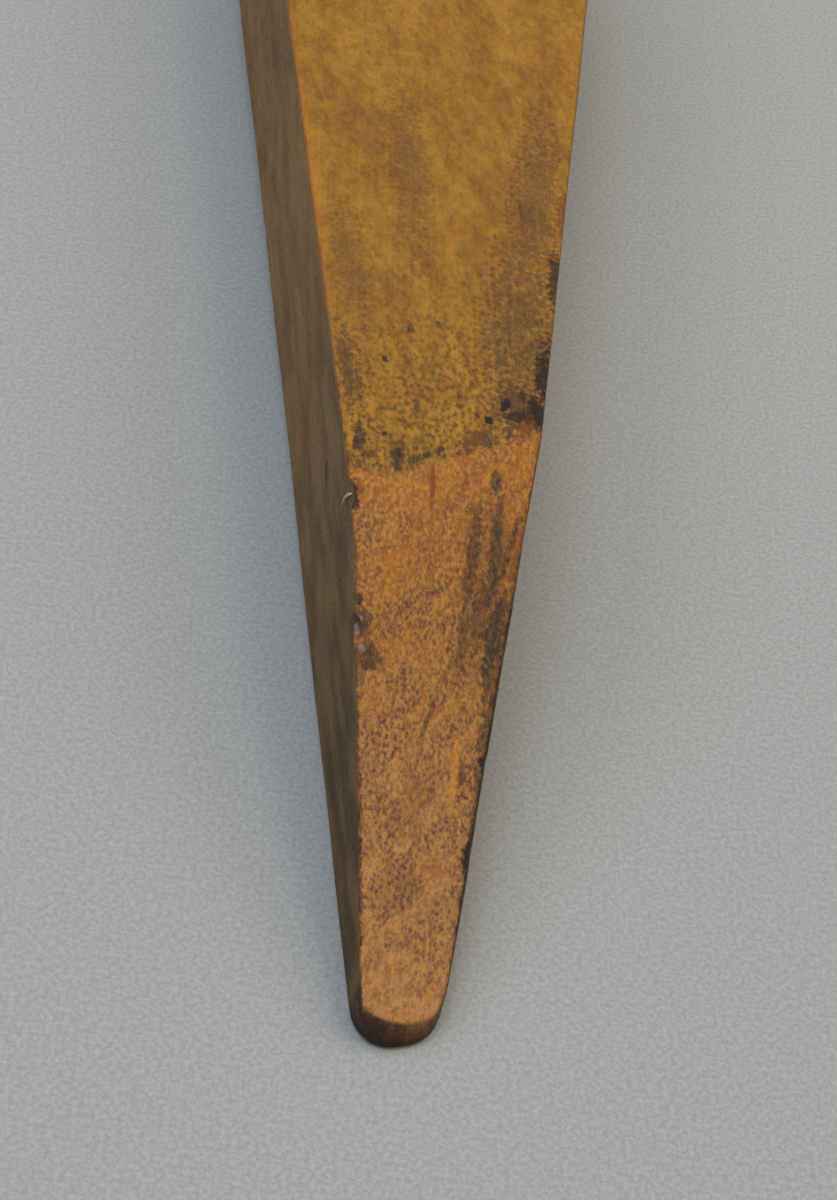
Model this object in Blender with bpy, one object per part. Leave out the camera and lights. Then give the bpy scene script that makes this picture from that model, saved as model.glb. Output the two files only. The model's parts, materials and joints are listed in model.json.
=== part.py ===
"""A wooden garden dibber with a cross grip, lying on its underside as it would on a bench.

The tool is five pieces of wood. A flat-sided blade tapers to a blunt nose, and its upper
face is cut down to the nose in one long, slightly tilted facet. The blade's tenon passes
through a turned cross grip, where two wedges spread it and one peg locks it.

Every piece is built in the tool's own frame: X runs along the grip, Y from the nose towards
the grip, and Z through the blade's thickness with the blade's underside at zero. One empty,
rest_pose, then lays the whole tool on the ground, so that the nose and the two swells of the
grip touch it. The world's origin is the bottom centre of the resting tool's box.
"""

import math

import bmesh
import bpy
from mathutils import Matrix, Vector

MM = 0.001

# Blade, from the nose to the shoulder that bears on the grip.
BLADE_LENGTH = 250.0 * MM
BLADE_THICKNESS = 22.0 * MM
TAPER_LENGTH = 160.0 * MM  # from the nose to where the blade is widest
TIP_WIDTH = 7.8 * MM
SHANK_WIDTH = 43.4 * MM  # the widest place
SHOULDER_WIDTH = 34.0 * MM  # narrowed, so that two fingers fit round the shank
FACET_LENGTH = 51.5 * MM  # the long cut on the upper face, along its middle
FACET_TILT = math.radians(17.0)  # sideways: the facet is lower, and longer, at +X
TIP_THICKNESS = 2.8 * MM  # under the facet, on the centre line
NOSE_LENGTH = 3.2 * MM  # the stretch that is worn round
NOSE_BLUNT_WIDTH = 0.43  # share of the width that is left at the very end
NOSE_RISE = 0.7 * MM  # how far the underside lifts there
ARRIS_RADIUS = 0.7 * MM  # on the blade's long edges
HARD_EDGE_RADIUS = 0.5 * MM  # on the edges of the facet, the nose and the shoulder
HANDHOLD_RADIUS = 4.0 * MM  # the same edges where fingers hold the shank
HANDHOLD_LENGTH = 50.0 * MM  # the stretch below the shoulder with rounded edges
HANDHOLD_EASE = 22.0 * MM  # the stretch over which one radius becomes the other
WIDTH_BLEND = 0.5 * MM  # softens the corner between taper and shank

# Turned cross grip.
GRIP_LENGTH = 130.0 * MM
BOSS_RADIUS = 17.0 * MM
WAIST_RADIUS = 13.8 * MM
SWELL_RADIUS = 17.6 * MM
BOSS_HALF_LENGTH = 19.5 * MM
WAIST_FROM_END = 32.0 * MM
SWELL_FROM_END = 12.0 * MM
END_DOME = 8.5 * MM  # how far the rounding of each end reaches in
END_FLAT_RADIUS = 4.0 * MM
SEAT_MARGIN = 0.6 * MM  # the seat is this much wider than the blade is thick, each side
CROWN_FLAT_DEPTH = 1.2 * MM  # planed off the grip's far side, round the tenon's end

# Joint between the two.
TENON_WIDTH = 22.0 * MM
TENON_THICKNESS = 12.0 * MM
TENON_PROUD = 0.8 * MM  # how far the tenon's end stands out of the crown flat
TENON_ROOT = 6.0 * MM  # overlap with the blade, for the join
LEAF_THICKNESS = 4.2 * MM  # each outer leaf of the split tenon
WEDGE_LENGTH = 19.0 * MM
WEDGE_HEAD = 2.8 * MM
WEDGE_POINT = 1.0 * MM
WEDGE_PROUD = 0.4 * MM  # beyond the tenon's end
PEG_RADIUS = 3.2 * MM
PEG_PROUD = 0.5 * MM  # above the grip
PEG_RECESS = 0.6 * MM  # below the grip's surface underneath
PEG_CHAMFER = 0.5 * MM
GAP = 0.3 * MM  # clearance between any two pieces

# Fineness of the surfaces.
HARD_EDGE_ANGLE = math.radians(50)  # an edge at least this sharp is softened
CORNER_STEPS = 3
NOSE_STEPS = 5
BLADE_STEP = 12.0 * MM
GRIP_PROFILE_STEPS = 36
GRIP_SIDES = 40
PEG_SIDES = 24

# Places that follow from the sizes, in the tool's frame.
MID_THICKNESS = BLADE_THICKNESS / 2
SEAT_DISTANCE = math.sqrt(BOSS_RADIUS**2 - (MID_THICKNESS + SEAT_MARGIN) ** 2)
GRIP_AXIS = Vector((0, BLADE_LENGTH + GAP + SEAT_DISTANCE, MID_THICKNESS))
CROWN_Y = GRIP_AXIS.y + BOSS_RADIUS - CROWN_FLAT_DEPTH
TENON_END = CROWN_Y + TENON_PROUD
KERF_BOTTOM = TENON_END - WEDGE_LENGTH - GAP
WEDGE_SPREAD = WEDGE_HEAD - WEDGE_POINT  # how far the wedge pushes each leaf out
KERF_INNER = TENON_WIDTH / 2 - LEAF_THICKNESS - WEDGE_POINT - 2 * GAP

WOODS = {
    "blade_wood": (0.33, 0.17, 0.055),
    "grip_wood": (0.30, 0.155, 0.055),
    "wedge_wood": (0.22, 0.10, 0.035),
    "peg_wood": (0.40, 0.23, 0.09),
}
WOOD_ROUGHNESS = 0.5


def smooth_step(value, start, end):
    """0 before start, 1 after end, with a smooth turn between them."""
    share = min(max((value - start) / (end - start), 0.0), 1.0)
    return share * share * (3 - 2 * share)


def soft_min(a, b, blend):
    """The smaller of a and b, with the corner between them rounded off over blend."""
    overlap = max(blend - abs(a - b), 0.0)
    return min(a, b) - overlap * overlap / (4 * blend)


def half_width(y):
    """Half the blade's width at y: the taper, then the shank that narrows to the shoulder."""
    taper = (TIP_WIDTH + (SHANK_WIDTH - TIP_WIDTH) * y / TAPER_LENGTH) / 2
    narrowing = (SHANK_WIDTH - SHOULDER_WIDTH) * smooth_step(y, TAPER_LENGTH, BLADE_LENGTH)
    return soft_min(taper, (SHANK_WIDTH - narrowing) / 2, WIDTH_BLEND)


def nose_share(y, blunt_share):
    """The share of the full size that the nose has at y, an ellipse ending at blunt_share."""
    short_of_full = max(1 - y / NOSE_LENGTH, 0.0)
    return math.sqrt(1 - (1 - blunt_share**2) * short_of_full**2)


def edge_radius(y):
    """The radius of the blade's long edges at y."""
    handhold = BLADE_LENGTH - HANDHOLD_LENGTH
    share = smooth_step(y, handhold - HANDHOLD_EASE, handhold)
    return ARRIS_RADIUS + (HANDHOLD_RADIUS - ARRIS_RADIUS) * share


def blade_stations():
    """The Y places of the blade's rings, which lie close together on the nose."""
    nose = [NOSE_LENGTH * (step / NOSE_STEPS) ** 1.6 for step in range(NOSE_STEPS + 1)]
    count = math.ceil((BLADE_LENGTH - NOSE_LENGTH) / BLADE_STEP)
    step = (BLADE_LENGTH - NOSE_LENGTH) / count
    return nose + [NOSE_LENGTH + step * number for number in range(1, count + 1)]


def rounded_rectangle(half_x, low_z, high_z, radius):
    """The outline of a blade section, as (x, z) pairs, anticlockwise seen from the nose."""
    radius = min(radius, 0.49 * min(2 * half_x, high_z - low_z))
    corners = [
        (half_x - radius, low_z + radius, -90),
        (half_x - radius, high_z - radius, 0),
        (-half_x + radius, high_z - radius, 90),
        (-half_x + radius, low_z + radius, 180),
    ]
    outline = []
    for centre_x, centre_z, first in corners:
        for step in range(CORNER_STEPS + 1):
            angle = math.radians(first + 90 * step / CORNER_STEPS)
            outline.append(
                (centre_x + radius * math.cos(angle), centre_z + radius * math.sin(angle))
            )
    return outline


def material(name):
    """A plain wood, named for what it covers."""
    made = bpy.data.materials.new(name)
    made.use_nodes = True
    shader = made.node_tree.nodes["Principled BSDF"]
    shader.inputs["Base Color"].default_value = (*WOODS[name], 1)
    shader.inputs["Roughness"].default_value = WOOD_ROUGHNESS
    shader.inputs["Metallic"].default_value = 0.0
    made.diffuse_color = (*WOODS[name], 1)
    return made


def new_object(name, mesh_data, wood=None):
    """Makes mesh_data, a bmesh, into an object, with its faces pointing out."""
    bmesh.ops.recalc_face_normals(mesh_data, faces=mesh_data.faces)
    mesh = bpy.data.meshes.new(name)
    mesh_data.to_mesh(mesh)
    mesh_data.free()
    made = bpy.data.objects.new(name, mesh)
    bpy.context.scene.collection.objects.link(made)
    if wood:
        mesh.materials.append(wood)
        mesh.shade_smooth()
        mesh.set_sharp_from_angle(angle=math.radians(30))
    return made


def extruded(name, outline, low_z, high_z, wood=None):
    """A prism: outline holds (x, y) pairs, and the prism runs from low_z to high_z."""
    shape = bmesh.new()
    ring = [shape.verts.new((x, y, low_z)) for x, y in outline]
    floor = shape.faces.new(ring)
    top = bmesh.ops.extrude_face_region(shape, geom=[floor])["geom"]
    moved = [part for part in top if isinstance(part, bmesh.types.BMVert)]
    bmesh.ops.translate(shape, verts=moved, vec=(0, 0, high_z - low_z))
    return new_object(name, shape, wood)


def cutter(made):
    """Marks an object as a helper that is cut away or joined, and isn't a piece."""
    made.hide_render = True
    made.display_type = "WIRE"
    return made


def combine(piece, helper, operation):
    """Joins helper to piece, or cuts it away, with a Boolean modifier."""
    modifier = piece.modifiers.new(f"{operation.lower()} {helper.name}", "BOOLEAN")
    modifier.operation = operation
    modifier.object = helper
    modifier.solver = "EXACT"


def tenon_outline(grow=0.0, slotted=True):
    """The spread tenon in plan. grow is a clearance on every side, for the mortise."""
    half = TENON_WIDTH / 2 + grow
    root = BLADE_LENGTH - TENON_ROOT
    end = TENON_END if slotted else TENON_END + TENON_ROOT
    lean = WEDGE_SPREAD / (TENON_END - KERF_BOTTOM)
    end_half = half + lean * (end - KERF_BOTTOM)
    right = [(half, root), (half, KERF_BOTTOM), (end_half, end)]
    if slotted:
        kerf_mouth = KERF_INNER + WEDGE_HEAD + 2 * GAP
        kerf_foot = KERF_INNER + WEDGE_POINT + 2 * GAP
        right += [(kerf_mouth, end), (kerf_foot, KERF_BOTTOM)]
        right += [(KERF_INNER, KERF_BOTTOM), (KERF_INNER, end)]
    return right + [(-x, y) for x, y in reversed(right)]


def cut_facet(shape):
    """Planes the facet: it meets TIP_THICKNESS over the nose and the face at FACET_LENGTH."""
    drop = BLADE_THICKNESS - TIP_THICKNESS
    bmesh.ops.bisect_plane(
        shape,
        geom=list(shape.verts) + list(shape.edges) + list(shape.faces),
        plane_co=(0, 0, TIP_THICKNESS),
        plane_no=(math.tan(FACET_TILT), -drop / FACET_LENGTH, 1),
        clear_outer=True,
    )
    cut = [edge for edge in shape.edges if edge.is_boundary]
    bmesh.ops.contextual_create(shape, geom=cut)


def build_blade(wood):
    """The blade with its facet, its slotted tenon and its peg hole."""
    shape = bmesh.new()
    rings = []
    for y in blade_stations():
        low_z = NOSE_RISE * (1 - nose_share(y, 0.0))
        half_x = half_width(y) * nose_share(y, NOSE_BLUNT_WIDTH)
        section = rounded_rectangle(half_x, low_z, BLADE_THICKNESS, edge_radius(y))
        rings.append([shape.verts.new((x, y, z)) for x, z in section])
    for near, far in zip(rings, rings[1:]):
        for here in range(len(near)):
            there = (here + 1) % len(near)
            shape.faces.new((near[here], near[there], far[there], far[here]))
    shape.faces.new(rings[0])
    shape.faces.new(rings[-1])
    cut_facet(shape)
    blade = new_object("blade", shape, wood)
    soften = blade.modifiers.new("soften hard edges", "BEVEL")
    soften.width = HARD_EDGE_RADIUS
    soften.segments = 2
    soften.limit_method = "ANGLE"
    soften.angle_limit = HARD_EDGE_ANGLE
    low = MID_THICKNESS - TENON_THICKNESS / 2
    tenon = extruded("tenon_block", tenon_outline(), low, low + TENON_THICKNESS)
    combine(blade, cutter(tenon), "UNION")
    combine(blade, peg_hole("peg_hole_in_tenon"), "DIFFERENCE")
    return blade


def grip_radius(x):
    """The turned radius at x: boss, waist, swell, then the domed end."""
    end = GRIP_LENGTH / 2
    waist, swell = end - WAIST_FROM_END, end - SWELL_FROM_END
    radius = BOSS_RADIUS
    radius += (WAIST_RADIUS - BOSS_RADIUS) * smooth_step(abs(x), BOSS_HALF_LENGTH, waist)
    radius += (SWELL_RADIUS - WAIST_RADIUS) * smooth_step(abs(x), waist, swell)
    into_dome = max((abs(x) - (end - END_DOME)) / END_DOME, 0.0)
    kept = math.sqrt(max(1 - into_dome**2, 0.0))
    return END_FLAT_RADIUS + (radius - END_FLAT_RADIUS) * kept


def grip_profile():
    """The grip's outline as (x, radius) pairs, closer together on the domed ends."""
    angles = [math.pi * step / GRIP_PROFILE_STEPS for step in range(GRIP_PROFILE_STEPS + 1)]
    places = [GRIP_LENGTH / 2 * -math.cos(angle) for angle in angles]
    return [(x, grip_radius(x)) for x in places]


def build_grip(wood):
    """The cross grip: turned, with a seat, a crown flat, a mortise and a peg hole."""
    shape = bmesh.new()
    rings = []
    for x, radius in grip_profile():
        ring = []
        for side in range(GRIP_SIDES):
            angle = 2 * math.pi * (side + 0.5) / GRIP_SIDES
            turned = Vector((0, radius * math.cos(angle), radius * math.sin(angle)))
            ring.append(shape.verts.new(GRIP_AXIS + Vector((x, 0, 0)) + turned))
        rings.append(ring)
    for near, far in zip(rings, rings[1:]):
        for here in range(GRIP_SIDES):
            there = (here + 1) % GRIP_SIDES
            shape.faces.new((near[here], near[there], far[there], far[here]))
    shape.faces.new(rings[0])
    shape.faces.new(rings[-1])
    grip = new_object("cross_grip", shape, wood)

    seat_half = SHOULDER_WIDTH / 2 + SEAT_MARGIN
    seat_y = GRIP_AXIS.y - SEAT_DISTANCE
    below = GRIP_AXIS.z - 2 * BOSS_RADIUS
    above = GRIP_AXIS.z + 2 * BOSS_RADIUS
    crown_y = GRIP_AXIS.y + BOSS_RADIUS
    seat = [(-seat_half, seat_y - BOSS_RADIUS), (seat_half, seat_y - BOSS_RADIUS)]
    seat += [(seat_half, seat_y), (-seat_half, seat_y)]
    crown = [(-seat_half, CROWN_Y), (seat_half, CROWN_Y)]
    crown += [(seat_half, crown_y + BOSS_RADIUS), (-seat_half, crown_y + BOSS_RADIUS)]
    low = MID_THICKNESS - TENON_THICKNESS / 2 - GAP
    high = low + TENON_THICKNESS + 2 * GAP
    mortise = tenon_outline(grow=GAP, slotted=False)
    for helper in (
        extruded("seat_cut", seat, below, above),
        extruded("crown_cut", crown, below, above),
        extruded("mortise_cut", mortise, low, high),
        peg_hole("peg_hole_in_grip"),
    ):
        combine(grip, cutter(helper), "DIFFERENCE")
    return grip


def build_wedge(name, side, wood):
    """One wedge. side is -1 or 1: its straight face is towards the tenon's middle."""
    inner = KERF_INNER + GAP
    point_y = KERF_BOTTOM + GAP
    head_y = TENON_END + WEDGE_PROUD
    lean = WEDGE_SPREAD / (TENON_END - KERF_BOTTOM)
    head = WEDGE_POINT + lean * (head_y - KERF_BOTTOM)
    point = WEDGE_POINT + lean * (point_y - KERF_BOTTOM)
    outline = [(inner, point_y), (inner + point, point_y), (inner + head, head_y)]
    outline += [(inner, head_y)]
    low = MID_THICKNESS - TENON_THICKNESS / 2
    placed = [(side * x, y) for x, y in outline]
    return extruded(name, placed, low, low + TENON_THICKNESS, wood)


def round_bar(name, radius, low_z, high_z, chamfer=0.0, wood=None):
    """A round bar through the grip's axis, along Z, with chamfered ends."""
    shape = bmesh.new()
    bmesh.ops.create_cone(
        shape,
        cap_ends=True,
        segments=PEG_SIDES,
        radius1=radius,
        radius2=radius,
        depth=high_z - low_z,
        matrix=Matrix.Translation((0, GRIP_AXIS.y, (low_z + high_z) / 2)),
    )
    if chamfer:
        ends = [edge for edge in shape.edges if edge.verts[0].co.z == edge.verts[1].co.z]
        bmesh.ops.bevel(shape, geom=ends, offset=chamfer, segments=1, affect="EDGES")
    return new_object(name, shape, wood)


def peg_hole(name):
    """The cutter of the hole that the peg fills."""
    reach = 2 * BOSS_RADIUS
    low, high = GRIP_AXIS.z - reach, GRIP_AXIS.z + reach
    return cutter(round_bar(name, PEG_RADIUS + GAP, low, high))


def build_peg(wood):
    """The locking peg: a little proud above the grip, and just inside it below."""
    low = GRIP_AXIS.z - BOSS_RADIUS + PEG_RECESS
    high = GRIP_AXIS.z + BOSS_RADIUS + PEG_PROUD
    return round_bar("locking_peg", PEG_RADIUS, low, high, PEG_CHAMFER, wood)


def rest_angle():
    """The tilt that brings the grip's swells down to the ground the nose rests on."""
    along = GRIP_AXIS.y - NOSE_LENGTH
    reach = math.hypot(along, GRIP_AXIS.z)
    return math.asin(SWELL_RADIUS / reach) - math.atan2(GRIP_AXIS.z, along)


def lay_down(pieces):
    """Parents the pieces to an empty that rests the tool, its box's bottom at the origin."""
    rest_pose = bpy.data.objects.new("rest_pose", None)
    bpy.context.scene.collection.objects.link(rest_pose)
    rest_pose.rotation_euler = (rest_angle(), 0, 0)
    for piece in bpy.data.objects:
        if piece is not rest_pose:
            piece.parent = rest_pose
    bpy.context.view_layer.update()
    graph = bpy.context.evaluated_depsgraph_get()
    points = []
    for piece in pieces:
        solid = piece.evaluated_get(graph)
        points += [solid.matrix_world @ vertex.co for vertex in solid.data.vertices]
    front, back = min(p.y for p in points), max(p.y for p in points)
    rest_pose.location = (0, -(front + back) / 2, -min(p.z for p in points))


def main():
    """Clears the scene, builds the five pieces and lays the tool down."""
    for old in list(bpy.data.objects):
        bpy.data.objects.remove(old)
    woods = {name: material(name) for name in WOODS}
    pieces = [
        build_blade(woods["blade_wood"]),
        build_grip(woods["grip_wood"]),
        build_wedge("left_wedge", -1, woods["wedge_wood"]),
        build_wedge("right_wedge", 1, woods["wedge_wood"]),
        build_peg(woods["peg_wood"]),
    ]
    lay_down(pieces)


main()
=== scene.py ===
"""A hand-cut wooden dibber with a wedged and pegged cross grip, aged by soil and handling.

The tool is modelled in its own frame, in millimetres: X runs along the grip, Y from the nose
towards the grip, and Z through the blade's thickness with the underside at zero. Each piece is
built there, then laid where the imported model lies. The blade's surface is found as the zero of
a field of planes whose meeting edges are worn round, so that every arris, chip and crease is
real geometry. Colour, grain and dirt are procedural.
"""

import json
import logging
import math
from collections.abc import Callable, Iterable, Sequence
from dataclasses import dataclass
from enum import Enum

import bpy
import numpy as np
from mathutils import Matrix, Vector, noise

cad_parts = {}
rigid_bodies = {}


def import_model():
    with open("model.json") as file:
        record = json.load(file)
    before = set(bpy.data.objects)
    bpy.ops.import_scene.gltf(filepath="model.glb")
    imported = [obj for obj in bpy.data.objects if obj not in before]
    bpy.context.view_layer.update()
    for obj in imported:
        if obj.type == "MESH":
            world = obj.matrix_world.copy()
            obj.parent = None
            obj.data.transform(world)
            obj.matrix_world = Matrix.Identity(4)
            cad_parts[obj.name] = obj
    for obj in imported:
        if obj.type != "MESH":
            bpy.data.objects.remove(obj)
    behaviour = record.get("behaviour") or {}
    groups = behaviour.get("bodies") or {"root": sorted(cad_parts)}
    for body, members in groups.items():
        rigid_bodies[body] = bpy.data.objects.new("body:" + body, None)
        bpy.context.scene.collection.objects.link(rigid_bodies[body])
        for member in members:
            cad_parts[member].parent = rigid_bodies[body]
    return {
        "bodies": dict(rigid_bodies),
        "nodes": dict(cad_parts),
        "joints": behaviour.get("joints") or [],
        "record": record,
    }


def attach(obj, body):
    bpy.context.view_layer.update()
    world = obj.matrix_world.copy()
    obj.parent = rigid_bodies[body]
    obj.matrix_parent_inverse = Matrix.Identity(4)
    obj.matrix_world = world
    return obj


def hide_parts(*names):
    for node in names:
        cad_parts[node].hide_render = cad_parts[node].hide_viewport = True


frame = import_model()

LOG = logging.getLogger("dibber")
MM = 0.001
BODY = "root"

Points = np.ndarray
Socket = bpy.types.NodeSocket
Value = float | int | Sequence[float] | Socket


# --------------------------------------------------------------------------- small maths


def smooth_step(value: np.ndarray | float, start: float, end: float) -> np.ndarray:
    """Eases from 0 at start to 1 at end.

    Args:
        value: Where to look.
        start: The place where the answer leaves 0.
        end: The place where the answer reaches 1.

    Returns:
        The eased share, from 0 to 1.
    """
    share = np.clip((value - start) / (end - start), 0.0, 1.0)
    return share * share * (3 - 2 * share)


def smooth_max(a: np.ndarray, b: np.ndarray, blend: np.ndarray | float) -> np.ndarray:
    """The larger of two fields, with the shallow ridge between them worn off over blend."""
    overlap = np.maximum(blend - np.abs(a - b), 0.0)
    return np.maximum(a, b) + overlap * overlap / (4 * blend)


def round_max(a: np.ndarray, b: np.ndarray, radius: np.ndarray | float) -> np.ndarray:
    """Joins two faces that meet at about a right angle, with an arris of this radius."""
    corner = np.hypot(np.maximum(a + radius, 0.0), np.maximum(b + radius, 0.0))
    return np.minimum(-radius, np.maximum(a, b)) + corner


def linear(red: int, green: int, blue: int) -> tuple[float, float, float, float]:
    """Turns an everyday 0 to 255 colour into the linear one that shaders take.

    Args:
        red: Red, 0 to 255.
        green: Green, 0 to 255.
        blue: Blue, 0 to 255.

    Returns:
        Linear red, green and blue, with an alpha of 1.
    """
    shares = [channel / 255 for channel in (red, green, blue)]
    made = [s / 12.92 if s <= 0.04045 else ((s + 0.055) / 1.055) ** 2.4 for s in shares]
    return (made[0], made[1], made[2], 1.0)


def crowded(count: int, crowding: float) -> np.ndarray:
    """Places from -1 to 1 that crowd towards both ends.

    Args:
        count: How many steps there are.
        crowding: 0 for even steps, up to 1 for steps that vanish at the ends.

    Returns:
        The count + 1 places.
    """
    even = np.linspace(-1.0, 1.0, count + 1)
    return crowding * np.sin(even * math.pi / 2) + (1 - crowding) * even


def wobble(points: Points, size: float, seed: float, stretch: float = 1.0) -> np.ndarray:
    """Smooth noise over some points.

    Args:
        points: The points, in millimetres.
        size: How long one wave of the noise is, in millimetres.
        seed: Picks one noise among many.
        stretch: How much longer the waves are along the blade.

    Returns:
        One value for each point, mostly between -0.7 and 0.7.
    """
    scale = np.array([1 / size, 1 / (size * stretch), 1 / size])
    return np.array([noise.noise(Vector(p)) for p in points * scale + seed])


# --------------------------------------------------------------------------- mesh tools


def new_piece(name: str, points: Points, faces: Sequence[Sequence[int]]) -> bpy.types.Object:
    """Makes a mesh object in the tool's frame.

    Args:
        name: The piece's name.
        points: Its points, in millimetres.
        faces: Its faces, as lists of point numbers.

    Returns:
        The new object, linked to the scene.
    """
    mesh = bpy.data.meshes.new(name)
    mesh.from_pydata((np.asarray(points) * MM).tolist(), [], faces)
    mesh.update()
    piece = bpy.data.objects.new(name, mesh)
    bpy.context.scene.collection.objects.link(piece)
    return piece


def box_skin(
    across: np.ndarray, along: np.ndarray, up: np.ndarray
) -> tuple[Points, list[tuple[int, int, int, int]]]:
    """The closed skin of a box, as a fine grid of quads that share their edges.

    Args:
        across: The grid's places in X, in rising order.
        along: The grid's places in Y, in rising order.
        up: The grid's places in Z, in rising order.

    Returns:
        The skin's points, and its faces with their fronts outwards.
    """
    last = (len(across) - 1, len(along) - 1, len(up) - 1)
    numbers: dict[tuple[int, int, int], int] = {}
    points: list[tuple[float, float, float]] = []

    def number(i: int, j: int, k: int) -> int:
        """The number of one grid point, which is added where it is new.

        Args:
            i: Its place in across.
            j: Its place in along.
            k: Its place in up.

        Returns:
            Its number.
        """
        if (i, j, k) not in numbers:
            numbers[i, j, k] = len(points)
            points.append((across[i], along[j], up[k]))
        return numbers[i, j, k]

    faces = []
    for axis in (2, 1, 0):
        first, second = (other for other in range(3) if other != axis)
        for a in range(last[first]):
            for b in range(last[second]):
                for level in (0, last[axis]):
                    ring = []
                    for step_a, step_b in ((0, 0), (1, 0), (1, 1), (0, 1)):
                        corner = [level, level, level]
                        corner[first], corner[second] = a + step_a, b + step_b
                        ring.append(tuple(corner))
                    if (level == 0) == (axis != 1):
                        ring.reverse()
                    faces.append(tuple(number(*corner) for corner in ring))
    return np.array(points), faces


def gradient(surface: Callable[[Points], np.ndarray], points: Points) -> Points:
    """The slope of a field at some points.

    Args:
        surface: The field, zero on the surface and negative inside.
        points: Where to look, in millimetres.

    Returns:
        The field's rise per millimetre along each axis.
    """
    step = 1e-3
    here = surface(points)
    return np.stack([(surface(points + step * axis) - here) / step for axis in np.eye(3)], -1)


def unit(vectors: Points) -> Points:
    """The same directions, each one long."""
    return vectors / np.maximum(np.linalg.norm(vectors, axis=1), 1e-6)[:, None]


def settle(surface: Callable[[Points], np.ndarray], points: Points, rounds: int = 7) -> Points:
    """Moves points along the field's slope until they lie on its surface.

    Args:
        surface: The field, zero on the surface and negative inside.
        points: Points near the surface, in millimetres.
        rounds: How many times each point is moved.

    Returns:
        The points on the surface.
    """
    for _ in range(rounds):
        slope = gradient(surface, points)
        steepness = np.maximum((slope**2).sum(-1), 0.2)
        points = points - (surface(points) / steepness)[:, None] * slope
    return points


def prism(
    name: str, outline: Sequence[tuple[float, float]], low: float, high: float
) -> bpy.types.Object:
    """A straight-sided block, used as it is or as a cutter.

    Args:
        name: The block's name.
        outline: Its corners in plan, as (x, y) in millimetres, anticlockwise.
        low: Its lowest Z.
        high: Its highest Z.

    Returns:
        The new object.
    """
    count = len(outline)
    points = [(x, y, z) for z in (low, high) for x, y in outline]
    sides = [(i, (i + 1) % count, count + (i + 1) % count, count + i) for i in range(count)]
    ends = [tuple(reversed(range(count))), tuple(range(count, 2 * count))]
    return new_piece(name, np.array(points), sides + ends)


def tube_faces(rings: int, sides: int, first: int = 0) -> list[tuple[int, ...]]:
    """The faces of a tube with closed ends, whose points go ring by ring.

    Args:
        rings: How many rings it has.
        sides: How many points go round each ring.
        first: The number of its first point.

    Returns:
        The faces, with their fronts outwards.
    """
    faces: list[tuple[int, ...]] = []
    for start in range(first, first + (rings - 1) * sides, sides):
        for side in range(sides):
            a, b = start + side, start + (side + 1) % sides
            faces.append((a, b, b + sides, a + sides))
    last = first + (rings - 1) * sides
    faces.append(tuple(reversed(range(first, first + sides))))
    faces.append(tuple(range(last, last + sides)))
    return faces


def turned(
    rings: Sequence[tuple[float, float]], sides: int
) -> tuple[Points, list[tuple[int, ...]]]:
    """The closed skin of a turned shape round the X axis.

    Args:
        rings: The profile as (x, radius) pairs, from one end to the other.
        sides: How many points go round each ring.

    Returns:
        The skin's points, and its faces with their fronts outwards.
    """
    angles = 2 * math.pi * (np.arange(sides) + 0.5) / sides
    points = [(x, r * math.cos(a), r * math.sin(a)) for x, r in rings for a in angles]
    return np.array(points), tube_faces(len(rings), sides)


def combine(piece: bpy.types.Object, changes: Iterable[tuple[str, bpy.types.Object]]) -> None:
    """Joins blocks to a piece or cuts them away, then deletes the blocks.

    Args:
        piece: The piece to change.
        changes: Pairs of a Boolean operation's name and the block it uses.
    """
    blocks = []
    for operation, block in changes:
        change = piece.modifiers.new(block.name, "BOOLEAN")
        change.operation = operation
        change.object = block
        change.solver = "EXACT"
        blocks.append(block)
    bpy.context.view_layer.update()
    graph = bpy.context.evaluated_depsgraph_get()
    shaped = bpy.data.meshes.new_from_object(piece.evaluated_get(graph))
    piece.modifiers.clear()
    piece.data = shaped
    for block in blocks:
        bpy.data.objects.remove(block)


def soften(piece: bpy.types.Object, width: float, steps: int = 2) -> None:
    """Rounds a block's sharp edges.

    Args:
        piece: The block.
        width: How far the rounding reaches, in millimetres.
        steps: How many faces the rounding has.
    """
    bevel = piece.modifiers.new("worn edges", "BEVEL")
    bevel.width = width * MM
    bevel.segments = steps
    bevel.limit_method = "ANGLE"
    bevel.angle_limit = math.radians(40)


def smooth_shade(piece: bpy.types.Object, angle: float = 35.0) -> None:
    """Shades a piece smooth, with its edges sharp where they turn by more than angle."""
    piece.data.shade_smooth()
    piece.data.set_sharp_from_angle(angle=math.radians(angle))


def read_points(piece: bpy.types.Object) -> Points:
    """A piece's points in the tool's frame, in millimetres.

    Args:
        piece: The piece.

    Returns:
        One row for each point.
    """
    found = np.empty(len(piece.data.vertices) * 3)
    piece.data.vertices.foreach_get("co", found)
    return found.reshape(-1, 3) / MM


def write_points(piece: bpy.types.Object, points: Points) -> None:
    """Gives a piece new points, in millimetres."""
    piece.data.vertices.foreach_set("co", (points * MM).ravel())
    piece.data.update()


def paint(piece: bpy.types.Object, name: str, values: np.ndarray) -> None:
    """Stores a number on each of a piece's points, for its material to read."""
    layer = piece.data.attributes.new(name, "FLOAT", "POINT")
    layer.data.foreach_set("value", values.astype(np.float32))


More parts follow.
